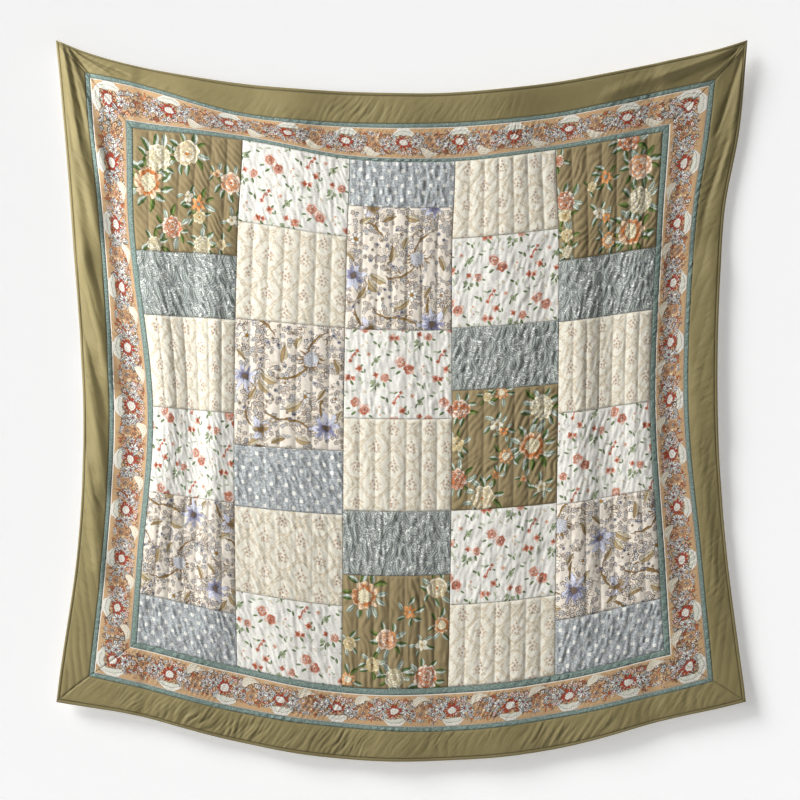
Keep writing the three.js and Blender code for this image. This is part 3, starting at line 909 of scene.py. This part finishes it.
def scaled(colour, share):
    node = grow(share.tree, "VectorMath", {0: colour, "Scale": share}, operation="SCALE")
    return Signal(share.tree, node.outputs[0])


def split(tree, socket):
    return [Signal(tree, out) for out in grow(tree, "SeparateXYZ", (socket,)).outputs]


def carried(tree, name):
    outputs = grow(tree, "Attribute", attribute_name=name).outputs
    return {part: Signal(tree, outputs[part]) for part in ("Color", "Vector", "Fac", "Alpha")}


def speckle(tree, vector, scale, detail=2.0):
    return grow(tree, "TexNoise", {"Vector": vector, "Scale": scale, "Detail": detail})


def grain(tree, vector, scale, low, high, detail=2.0):
    return ramp(Signal(tree, speckle(tree, vector, scale, detail).outputs["Fac"]), low, high)


def cellDistance(tree, vector, scale):
    return Signal(tree, grow(tree, "TexVoronoi", {"Vector": vector, "Scale": scale}).outputs["Distance"])


turnOnce = 2 * math.pi
penWidth = 1.5  # half the width of a printed outline, in millimetres


def bloomLayer(tree, wobble):
    x, y, spin = split(tree, carried(tree, "bloomPlace")["Vector"])
    x, y = x + wobble[0] * 0.55, y + wobble[1] * 0.55
    parts = ("Shape", "Fill", "Edge", "Line", "Core")
    shape, fill, edge, line, core = (carried(tree, "bloom" + part) for part in parts)
    petals, rings, pointed = split(tree, shape["Vector"])
    heart, streak, outline = shape["Alpha"], fill["Alpha"], edge["Alpha"]
    size, thick = line["Alpha"] + 0.001, core["Alpha"] * penWidth
    reach = calc("SQRT", x * x + y * y)
    turn = calc("ARCTAN2", y, x) * (1 / turnOnce)
    ring = calc("MINIMUM", calc("FLOOR", reach * rings), rings - 1)
    local = reach * rings - ring
    around = turn * petals + ring * 0.5 + spin
    petal = calc("ABSOLUTE", calc("FRACT", around) - 0.5) * 2
    rounded = 1 - petal * petal
    crown = rounded + (1 - petal - rounded) * pointed
    notch = 0.62 - pointed * 0.3
    lot = grow(tree, "TexWhiteNoise", noise_dimensions="1D")
    feed(tree, lot.inputs["W"], calc("FLOOR", around) + ring * 37.0 + spin * 91.0)
    odd = Signal(tree, lot.outputs["Value"])
    tip = (notch + (1 - notch) * crown) * (0.74 + odd * 0.34) + wobble[2] * 0.45
    inPetal = calc("LESS_THAN", local, tip)
    last = calc("GREATER_THAN", ring, rings - 1.5)
    mask = calc("MAXIMUM", inPetal, 1 - last) * calc("LESS_THAN", reach, 1.3)
    along = calc("MINIMUM", local / tip, 1.0)
    colour = tone(ramp(along + (odd - 0.5) * 0.8 + wobble[2] * 2.2, 0.15, 0.85), fill["Color"], edge["Color"])
    rays = ramp(calc("SINE", turn * (turnOnce * 4) * petals + wobble[2] * 9), 0.0, 0.9)
    rays = rays * ramp(along, 0.9, 0.4) * streak
    rims = ramp(calc("ABSOLUTE", local - tip) / (rings / size * thick), 1.25, 0.5)
    sidePen = petals / (reach * size + 1.0) * (penWidth / math.pi)
    sides = ramp((1 - petal) / sidePen, 1.1, 0.5) * ramp(along, 0.25, 0.6)
    shade = calc("MAXIMUM", calc("MAXIMUM", rims, sides) * outline, rays * 0.8)
    shade = calc("MAXIMUM", shade, (1 - inPetal) * (1 - last) * 0.5)
    colour = tone(shade, colour, line["Color"])
    seeds = calc("SINE", turn * (turnOnce * 14) + wobble[2] * 9) + calc("SINE", reach * size + wobble[0] * 6)
    heartRim = ramp(calc("ABSOLUTE", reach - heart) * size, penWidth * 1.3, 0.6) * 0.8
    centre = tone(calc("MAXIMUM", ramp(seeds, 0.3, 1.2) * 0.75, heartRim), core["Color"], line["Color"])
    return mask, tone(ramp(reach - heart, 0.02, -0.02), colour, centre)


def leafLayer(tree, wobble):
    x, y, _ = split(tree, carried(tree, "leafPlace")["Vector"])
    x, y = x + wobble[1] * 0.35, y + wobble[0] * 0.35
    shape, fill, edge, line = (carried(tree, "leaf" + part) for part in ("Shape", "Fill", "Edge", "Line"))
    wide, bend, paisley = split(tree, shape["Vector"])
    vein, size = shape["Alpha"], line["Alpha"] + 0.001
    taper = calc("MAXIMUM", 1 - x * x, 0.0)
    aside = y - bend * taper
    plain = calc("POWER", taper, 0.8)
    comma = calc("SQRT", taper) * (1 - x * 0.85) * 0.8
    half = wide * (plain + (comma - plain) * paisley) * (1 + wobble[2] * 0.5) + 0.0001
    off = calc("ABSOLUTE", aside) / half
    colour = tone(ramp(aside / half + wobble[2] * 1.4, -0.3, 0.3), fill["Color"], edge["Color"])
    # ribs about three millimetres apart, whatever the leaf's length
    ribs = ramp(calc("SINE", (x - off * 0.35) * size * 0.95), 0.3, 0.9) * 0.7
    rib = calc("MAXIMUM", ramp(calc("ABSOLUTE", aside) * size, 1.5, 0.5), ribs) * vein
    loops = ramp(calc("COSINE", off * 12.0), 0.1, 0.8) * paisley * 0.75 * vein
    rim = ramp((1 - off) * half * size, penWidth * 1.2, 0.4) * 0.8
    colour = tone(calc("MAXIMUM", calc("MAXIMUM", rib, rim), loops), colour, line["Color"])
    return calc("LESS_THAN", off, 1.0), colour


# ground and accent colours, then how rough and how fuzzy each cloth is, and whether motifs are printed on it
clothLooks = tableByKind(
    "ground accent rough sheen layers",
    ("oliveFloral", "988763", "857552", 0.85, 0.1, True),
    ("whiteRose", "eeece4", "c6c6b0", 0.9, 0.08, True),
    ("creamTrellis", "ebe6d6", "c2ae8c", 0.9, 0.08, True),
    ("creamCrinkled", "ebe6d6", "c2ae8c", 0.9, 0.08, True),
    ("jacobean", "eadfcf", "7a6038", 0.9, 0.08, True),
    ("grayDotted", "c6caca", "efeee6", 0.9, 0.08, False),
    ("paisleyPrint", "eef1e8", "4e595f", 0.9, 0.08, True),
    ("floral_border", "c9a67c", "f1ebe0", 0.88, 0.08, True),
    ("olive_border", "8f8359", "7e734b", 0.55, 0.12, False),
    ("binding", "887c53", "776c46", 0.66, 0.12, False),
    ("outer_strip", "91a39a", "687c75", 0.88, 0.08, False),
    ("inner_strip", "91a39a", "687c75", 0.88, 0.08, False),
    ("backing", "e4ddc8", "a1967a", 0.9, 0.08, False),
)
# pitches in metres, radii in millimetres
dots = {"acrossPitch": 0.048, "rowPitch": 0.0245, "radius": 6.3, "heart": 1.8}
# in millimetres: a pale line along both sides of the floral border, and where its busy middle starts and is full
borderEdge = {"line": 3.6, "middle": (12, 26), "farMiddle": (6, 18)}
# lengths in metres; scales in cells to a metre; slubs lighten a cloth from its darkest share up; the painted shade
# darkens it by up to its given share
weave = {
    "pitch": 0.0011, "depth": 0.0004, "strength": 0.35, "slubScale": 420, "darkest": 0.93, "slubShare": 0.14,
    "paintedShadeStrength": 0.45, "wobbleScale": 48, "wobbleDetail": 4.0, "sheenRough": 0.5, "gloss": 0.25,
}


def warped(tree, flat, scale, amount):
    # the same flat place, pushed about so that round cells turn into scrolls
    push = speckle(tree, flat, scale, 1.0).outputs["Color"]
    return grow(tree, "VectorMath", (push, (amount, amount, 0), flat), operation="MULTIPLY_ADD").outputs[0]


def scattered(tree, vector, scale, petals, radius, pen):
    # small flowers strewn one to a cell: inside or not, on the outline or not, and three random picks
    spread = grow(tree, "TexVoronoi", {"Vector": vector, "Scale": scale}, voronoi_dimensions="2D")
    away = grow(tree, "VectorMath", (vector, spread.outputs["Position"]), operation="SUBTRACT")
    dx, dy, _ = split(tree, away.outputs[0])
    picks = split(tree, spread.outputs["Color"])
    reach = Signal(tree, spread.outputs["Distance"])
    petal = calc("ABSOLUTE", calc("FRACT", calc("ARCTAN2", dy, dx) * (petals / turnOnce) + picks[0] * 7) - 0.5) * 2
    tip = (1 - petal * petal * 0.45) * (picks[1] * 0.35 + 0.75) * radius
    outline = ramp(calc("ABSOLUTE", reach - tip), pen, pen * 0.4)
    heart = ramp(reach, radius * 0.34, radius * 0.22)
    return ramp(reach - tip, 0.02, -0.02), calc("MAXIMUM", outline, heart), picks


def groundOf(kind, tree, look, flat, x, y, wobble):
    ground, accent = tint(look["ground"]), tint(look["accent"])
    placeX, placeY, _ = split(tree, carried(tree, "piecePlace")["Vector"])
    if kind in ("creamTrellis", "creamCrinkled"):
        # open diamonds of a leafy double line round each sprig
        perRepeat = turnOnce / sprigRepeat["stepY"]
        across, down = (
            (place - start + sway * 16) * perRepeat
            for place, start, sway in zip((placeX, placeY), sprigRepeat["starts"][0], wobble)
        )
        wave = calc("COSINE", across) + calc("COSINE", down)
        leafy = calc("COSINE", (placeX + placeY) * 0.62) * 0.08
        lattice = ramp(calc("ABSOLUTE", calc("ABSOLUTE", wave) - 0.22 - leafy), 0.24, 0.08)
        flecks = grain(tree, flat, 170, 0.52, 0.66) * 0.35
        return tone(calc("MAXIMUM", lattice * grain(tree, flat, 120, 0.30, 0.52) * 0.7, flecks), ground, accent)
    if kind == "whiteRose":
        return tone(grain(tree, flat, 150, 0.56, 0.7) * 0.8, ground, accent)
    if kind == "grayDotted":
        # four-lobed dots, each row half a step along from the last
        wide, high = dots["acrossPitch"], dots["rowPitch"]
        dx = calc("FRACT", x / wide + calc("FLOOR", y / high) * 0.5) - 0.5
        dy = calc("FRACT", y / high) - 0.5
        dx, dy = dx * (wide * 1000) + wobble[0] * 4, dy * (high * 1000) + wobble[1] * 4
        reach = calc("SQRT", dx * dx + dy * dy)
        lobed = calc("ABSOLUTE", calc("SINE", calc("ARCTAN2", dy, dx) * 2))
        dot = ramp(reach - lobed * 1.2 - wobble[2] * 3, dots["radius"], dots["radius"] - 1.3)
        centre = ramp(reach, dots["heart"], dots["heart"] - 0.8) * 0.5
        return tone(dot - centre, tone(grain(tree, flat, 170, 0.38, 0.62), ground, tint("979c9e")), accent)
    if kind == "jacobean":
        # small flowers and curls in brown, thick here and thin there, with inked specks between
        where = Signal(tree, speckle(tree, flat, 12, 1.0).outputs["Fac"])
        inside, drawn, picks = scattered(tree, warped(tree, flat, 34, 0.012), 58, 5, 0.46, 0.11)
        scroll = calc("SINE", cellDistance(tree, warped(tree, flat, 26, 0.03), 34) * 30)
        curls = ramp(scroll, 0.5, 0.85) * ramp(where, 0.48, 0.6)
        base = tone(grain(tree, flat, 75, 0.4, 0.6) * 0.8, ground, tint("f0e8dc"))
        base = tone(curls * 0.95, base, accent)
        petalInk = tone(ramp(picks[1], 0.6, 0.65), tint("f1eee8"), tint("d2d1d0"))
        lineInk = tone(ramp(picks[2], 0.62, 0.68), tint("68491f"), tint("46424a"))
        present = ramp(picks[0] + where, 0.8, 0.86)
        return tone(drawn * present, tone(inside * present * 0.9, base, petalInk), lineInk)
    if kind == "paisleyPrint":
        bent = warped(tree, flat, 40, 0.014)
        rings = ramp(calc("SINE", cellDistance(tree, bent, 44) * 24), -0.1, 0.5)
        inside, drawn, _ = scattered(tree, bent, 88, 5, 0.46, 0.14)
        base = tone(calc("MAXIMUM", rings * 0.75, grain(tree, flat, 200, 0.42, 0.58) * 0.25), ground, accent)
        return tone(drawn * 0.85, tone(inside * 0.8, base, tint("dde0d6")), accent)
    if kind == "floral_border":
        width, line, (start, full) = bandWidths[kind], borderEdge["line"], borderEdge["farMiddle"]
        middle = ramp(placeY + wobble[0] * 60, *borderEdge["middle"])
        middle = middle * ramp(placeY + wobble[1] * 30, width - start, width - full)
        inside, drawn, picks = scattered(tree, warped(tree, flat, 45, 0.012), 54, 5, 0.5, 0.15)
        rust = tone(ramp(picks[1], 0.8, 0.84), tint("d8ab80"), tint("a85a3a"))
        petalInk = tone(ramp(picks[1], 0.62, 0.66), tint("b9c0bd"), rust)
        petalInk = tone(ramp(picks[1], 0.48, 0.53), tint("f6f3ec"), petalInk)
        between = tone(grain(tree, flat, 130, 0.42, 0.6), tint("cfac84"), tint("7c6a5e"))
        lineInk = tone(ramp(picks[2], 0.6, 0.65), tint("2c2a2d"), tint("702a1c"))
        busy = tone(drawn * 0.9, tone(inside, between, petalInk), lineInk)
        colour = tone(middle * 0.92, tone(grain(tree, flat, 190, 0.55, 0.65) * 0.3, ground, tint("a37c58")), busy)
        edges = calc("MAXIMUM", ramp(placeY, line, line - 1), ramp(placeY, width - line, width - line + 1))
        return tone(edges, colour, accent)
    if kind == "backing":
        # the quilting shows through as lines of stitches, in the patchwork alone
        side, end = (halfWidth - patchInset) / 1000, (fullHeight / 2 - patchInset) / 1000
        line = calc("ABSOLUTE", calc("FRACT", (x + side) / (channelWidth / 1000) + 0.5) - 0.5)
        dash = ramp(calc("SINE", y * (turnOnce / 0.005)), -0.4, 0.1)
        within = calc("LESS_THAN", calc("ABSOLUTE", x), side + 0.0005)
        within = within * calc("LESS_THAN", calc("ABSOLUTE", y - fullHeight / 2000), end + 0.001)
        return tone(ramp(line, 0.016, 0.008) * dash * within * 0.8, ground, accent)
    if kind in ("outer_strip", "inner_strip"):
        return tone(grain(tree, flat, 190, 0.36, 0.62), ground, accent)
    return tone(grain(tree, flat, 9, 0.35, 0.7) * 0.4, ground, accent)


def newMaterial(name, finish):
    material = bpy.data.materials.new(name)
    material.use_nodes = True
    shader = material.node_tree.nodes["Principled BSDF"]
    for key, value in finish.items():
        feed(material.node_tree, shader.inputs[key], value)
    return material, material.node_tree, shader


def clothMaterial(kind):
    look = clothLooks[kind]
    finish = {"Roughness": look["rough"], "Sheen Weight": look["sheen"]}
    finish.update({"Sheen Roughness": weave["sheenRough"], "Specular IOR Level": weave["gloss"]})
    material, tree, shader = newMaterial(kind + "Cloth", finish)
    flat = grow(tree, "UVMap", uv_map="flatCloth").outputs["UV"]
    x, y, _ = split(tree, flat)
    drift = speckle(tree, flat, weave["wobbleScale"], weave["wobbleDetail"]).outputs["Color"]
    wobble = [part - 0.5 for part in split(tree, drift)]
    colour = groundOf(kind, tree, look, flat, x, y, wobble)
    for layer in (leafLayer, bloomLayer) if look["layers"] else ():
        mask, painted = layer(tree, wobble)
        colour = tone(mask, colour, painted)
    # painted shade: seams, quilting lines, the bottoms of puckers and the hollows of gathers are darkened in the
    # colour
    colour = scaled(colour, 1 - carried(tree, "paintedShade")["Fac"] * weave["paintedShadeStrength"])
    # threads run over and under each other, with slubs
    warp, weft = (calc("SINE", place * (turnOnce / weave["pitch"])) for place in (x, y))
    slubs = Signal(tree, speckle(tree, flat, weave["slubScale"], 1.0).outputs["Fac"])
    raised = warp * weft * 0.5 + slubs
    feed(tree, shader.inputs["Base Color"], scaled(colour, weave["darkest"] + slubs * weave["slubShare"]))
    bump = grow(tree, "Bump", {"Strength": weave["strength"], "Distance": weave["depth"], "Height": raised})
    feed(tree, shader.inputs["Normal"], bump.outputs["Normal"])
    return material


cloths = {kind: clothMaterial(kind) for kind in clothLooks}
for row in patches + bandPieces:
    for kind in (row["kind"], "binding" if row["kind"] == "binding" else "backing"):
        row["piece"].data.materials.append(cloths[kind])
print("cloths dyed and printed:", len(cloths))


# Stitches: points along every sewn line, each with the way the line runs there, dressed by one Geometry Nodes tree
stitches = {
    "quiltingPitch": 5.0, "bindingPitch": 6.0, "length": 3.4, "width": 0.9, "unevenness": 0.2, "seed": 11,
    "bindingInset": 8.6, "lift": 0.15, "bindingRise": 1.3, "colour": "a59a7e", "rough": 0.7,
    "ends": (4, 3),  # how far the quilting stops short of a patch's top and bottom
}


def stitchTree(material):
    tree = bpy.data.node_groups.new("stitchRow", "GeometryNodeTree")
    tree.interface.new_socket("Geometry", in_out="INPUT", socket_type="NodeSocketGeometry")
    for name in ("Stitch Length", "Stitch Width", "Unevenness"):
        tree.interface.new_socket(name, in_out="INPUT", socket_type="NodeSocketFloat")
    tree.interface.new_socket("Geometry", in_out="OUTPUT", socket_type="NodeSocketGeometry")
    given = grow(tree, "NodeGroupInput").outputs
    bead = grow(tree, "GeometryNodeMeshUVSphere", {"Segments": 4, "Rings": 2, "Radius": 0.5})
    run = grow(tree, "GeometryNodeInputNamedAttribute", {"Name": "run"}, data_type="FLOAT_VECTOR")
    align = grow(tree, "FunctionNodeAlignRotationToVector", {"Vector": run.outputs["Attribute"]}, axis="Z")
    least = grow(tree, "ShaderNodeMath", (1, given["Unevenness"]), operation="SUBTRACT")
    lot = grow(tree, "FunctionNodeRandomValue", {2: least.outputs[0], "Seed": stitches["seed"]})
    long = grow(tree, "ShaderNodeMath", (given["Stitch Length"], lot.outputs[1]), operation="MULTIPLY")
    size = grow(tree, "ShaderNodeCombineXYZ", (given["Stitch Width"], given["Stitch Width"], long.outputs[0]))
    sew = grow(tree, "GeometryNodeInstanceOnPoints", {
        "Points": given["Geometry"], "Instance": bead.outputs["Mesh"],
        "Rotation": align.outputs["Rotation"], "Scale": size.outputs[0],
    })
    real = grow(tree, "GeometryNodeRealizeInstances", {"Geometry": sew.outputs["Instances"]})
    dye = grow(tree, "GeometryNodeSetMaterial", {"Geometry": real.outputs["Geometry"], "Material": material})
    grow(tree, "NodeGroupOutput", {"Geometry": dye.outputs["Geometry"]})
    return tree


def sewnLine(x, y, proud):
    lift = quilt["thickness"] / 2 + smallFoldsAt(x, y) + stitches["lift"]
    points = hang(x, y, np.maximum(proud, -1) + lift)
    return points, np.gradient(points, axis=0)


def sew(name, lines, tree):
    points, runs = (np.concatenate(part) for part in zip(*lines))
    mesh = bpy.data.meshes.new(name + "_points")
    mesh.from_pydata(points.tolist(), [], [])
    mesh.attributes.new("run", "FLOAT_VECTOR", "POINT").data.foreach_set("vector", runs.astype(np.float32).ravel())
    marks = shown(name + "_points", mesh)
    modifier = marks.modifiers.new("stitchRow", "NODES")
    modifier.node_group = tree
    sockets = {item.name: item.identifier for item in tree.interface.items_tree if item.in_out == "INPUT"}
    modifier[sockets["Stitch Length"]] = stitches["length"] / 1000
    modifier[sockets["Stitch Width"]] = stitches["width"] / 1000
    modifier[sockets["Unevenness"]] = stitches["unevenness"]
    threads = bpy.data.meshes.new_from_object(marks.evaluated_get(bpy.context.evaluated_depsgraph_get()))
    threads.name = name
    made = shown(name, threads)
    marks.modifiers.remove(modifier)
    bpy.data.objects.remove(marks)
    bpy.data.meshes.remove(mesh)
    return made


quiltingLines, bindingLines = [], []
for row in patches:
    left, top, bottom = row["left"], row["top"], row["top"] + row["height"]
    down = np.arange(top + stitches["ends"][0], bottom - stitches["ends"][1], stitches["quiltingPitch"])
    for k in range(1, quilt["channels"]):
        across = np.full_like(down, left + k * channelWidth)
        relief, _ = patchRelief(row["kind"], across, down, left, left + row["width"], top, bottom, row["seed"])
        quiltingLines.append(sewnLine(across, down, relief))
inset = stitches["bindingInset"]
for end in (inset, fullHeight - inset):
    run = np.arange(inset, quilt["width"] - inset, stitches["bindingPitch"])
    bindingLines.append(sewnLine(run - halfWidth, np.full_like(run, end), np.full_like(run, stitches["bindingRise"])))
for end in (inset - halfWidth, halfWidth - inset):
    run = np.arange(inset, fullHeight - inset, stitches["bindingPitch"])
    bindingLines.append(sewnLine(np.full_like(run, end), run, np.full_like(run, stitches["bindingRise"])))
thread = newMaterial("stitchThread", {"Base Color": tint(stitches["colour"]), "Roughness": stitches["rough"]})[0]
stitchTool = stitchTree(thread)
stitchRows = [sew("quilting_stitches", quiltingLines, stitchTool), sew("binding_stitches", bindingLines, stitchTool)]
print("stitches sewn:", [len(piece.data.polygons) for piece in stitchRows])

for row in patches:
    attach(row["piece"], "root")
    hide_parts("patchwork_panel")
    flatSize = (row["width"] / 1000, row["height"] / 1000)
for row in bandPieces:
    long = (quilt["width"] if row["side"] in ("top", "bottom") else fullHeight) - 2 * row["outer"]
    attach(row["piece"], "root")
    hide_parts(f"{row['kind']}_{row['side']}")
    flatSize, flatArea = (row["width"] / 1000, long / 1000), row["width"] * (long - row["width"]) / 1e6
for piece, slot in zip(stitchRows, ("patchwork", "binding")):
    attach(piece, "root")

studio = {
    "wallY": 0.02,
    "wallShade": 0.92,
    "wallGlow": (0.195, 0.255),  # at the floor and just above the quilt
    "floorZ": -2.75,
    "floorShade": 0.6,
    "glowTop": 0.2,
    "reach": 9,
    "cameraDistance": 7.26,
    "lens": 100,
    "sensorWidth": 36,
    "lookAt": (-0.010, 0, -1.0027),
    "sunDistance": 5,
    "sunPower": 2.6,
    "sunAngle": 22,
    "sunAzimuth": -60,
    "sunHeight": 40,
    "washPower": 1.15,
    "washAngle": 44,
    "washHeight": 20,
    "skyPower": 0.08,
    "sidePower": 76,
    "sideSize": 1.1,
    "sidePlace": (-2.5, -1.5, 0.1),
    "sideTarget": (-0.3, 0, -0.9),
}


def stagePlane(name, corners, shade, glow):
    mesh = bpy.data.meshes.new(name)
    mesh.from_pydata(corners, [], [(0, 1, 2, 3)])
    finish = {"Base Color": (shade, shade, shade), "Roughness": 1.0, "Specular IOR Level": 0.0}
    material, tree, shader = newMaterial(name + "Paint", {**finish, "Emission Color": (1, 1, 1)})
    if glow:
        height = split(tree, grow(tree, "TexCoord").outputs["Object"])[2]
        rise = grow(tree, "MapRange", (height, studio["floorZ"], studio["glowTop"], *glow))
        feed(tree, shader.inputs["Emission Strength"], rise.outputs[0])
    # seen from behind, the stage is clear, so that the quilt's back shows
    facing, clear = grow(tree, "NewGeometry"), grow(tree, "BsdfTransparent")
    choose = grow(tree, "MixShader", (facing.outputs["Backfacing"], shader.outputs[0], clear.outputs[0]))
    feed(tree, tree.nodes["Material Output"].inputs["Surface"], choose.outputs[0])
    mesh.materials.append(material)
    made = shown(name, mesh)
    return made


def aim(thing, start, target):
    thing.location = start
    thing.rotation_mode = "QUATERNION"
    thing.rotation_quaternion = (Vector(target) - Vector(start)).to_track_quat("-Z", "Y")


def sunPlace(height):
    turn, rise, far = math.radians(studio["sunAzimuth"]), math.radians(height), studio["sunDistance"]
    return far * math.sin(turn) * math.cos(rise), -far * math.cos(turn) * math.cos(rise), far * math.sin(rise)


def addLight(name, kind, start, target, **settings):
    lamp = shown(name, bpy.data.lights.new(name, kind))
    for key, value in settings.items():
        setattr(lamp.data, key, value)
    aim(lamp, start, target)
    return lamp


def lightOnly(lamp, name, pieces):
    lit = bpy.data.collections.new(name)
    bpy.context.scene.collection.children.link(lit)
    for piece in pieces:
        lit.objects.link(piece)
    lamp.light_linking.receiver_collection = lit


far, wallY, floorZ = studio["reach"], studio["wallY"], studio["floorZ"]
wallCorners = [(-far, wallY, floorZ), (far, wallY, floorZ), (far, wallY, far), (-far, wallY, far)]
wall = stagePlane("studioWall", wallCorners, studio["wallShade"], studio["wallGlow"])
floorCorners = [(-far, -far, floorZ), (far, -far, floorZ), (far, wallY, floorZ), (-far, wallY, floorZ)]
stagePlane("studioFloor", floorCorners, studio["floorShade"], None)
camera = shown("camera", bpy.data.cameras.new("camera"))
camera.data.lens = studio["lens"]
camera.data.sensor_width = studio["sensorWidth"]
aim(camera, (studio["lookAt"][0], -studio["cameraDistance"], studio["lookAt"][2]), studio["lookAt"])
bpy.context.scene.camera = camera
sunAngle, washAngle = math.radians(studio["sunAngle"]), math.radians(studio["washAngle"])
addLight("keyLight", "SUN", sunPlace(studio["sunHeight"]), (0, 0, 0), energy=studio["sunPower"], angle=sunAngle)
washStart = sunPlace(studio["washHeight"])
washLight = addLight("washLight", "SUN", washStart, (0, 0, 0), energy=studio["washPower"], angle=washAngle)
sideLook = dict(energy=studio["sidePower"], size=studio["sideSize"])
sideLight = addLight("sideLight", "AREA", studio["sidePlace"], studio["sideTarget"], **sideLook)
lightOnly(sideLight, "hungCloth", [row["piece"] for row in patches + bandPieces] + stitchRows)
lightOnly(washLight, "backdrop", [wall])  # it falls on the wall alone, past the cloth that shades it
world = bpy.data.worlds.new("studioWorld")
bpy.context.scene.world = world
world.use_nodes = True
world.node_tree.nodes["Background"].inputs["Color"].default_value = (1, 1, 1, 1)
world.node_tree.nodes["Background"].inputs["Strength"].default_value = studio["skyPower"]
bpy.context.scene.view_settings.view_transform = "Standard"
print("studio set")
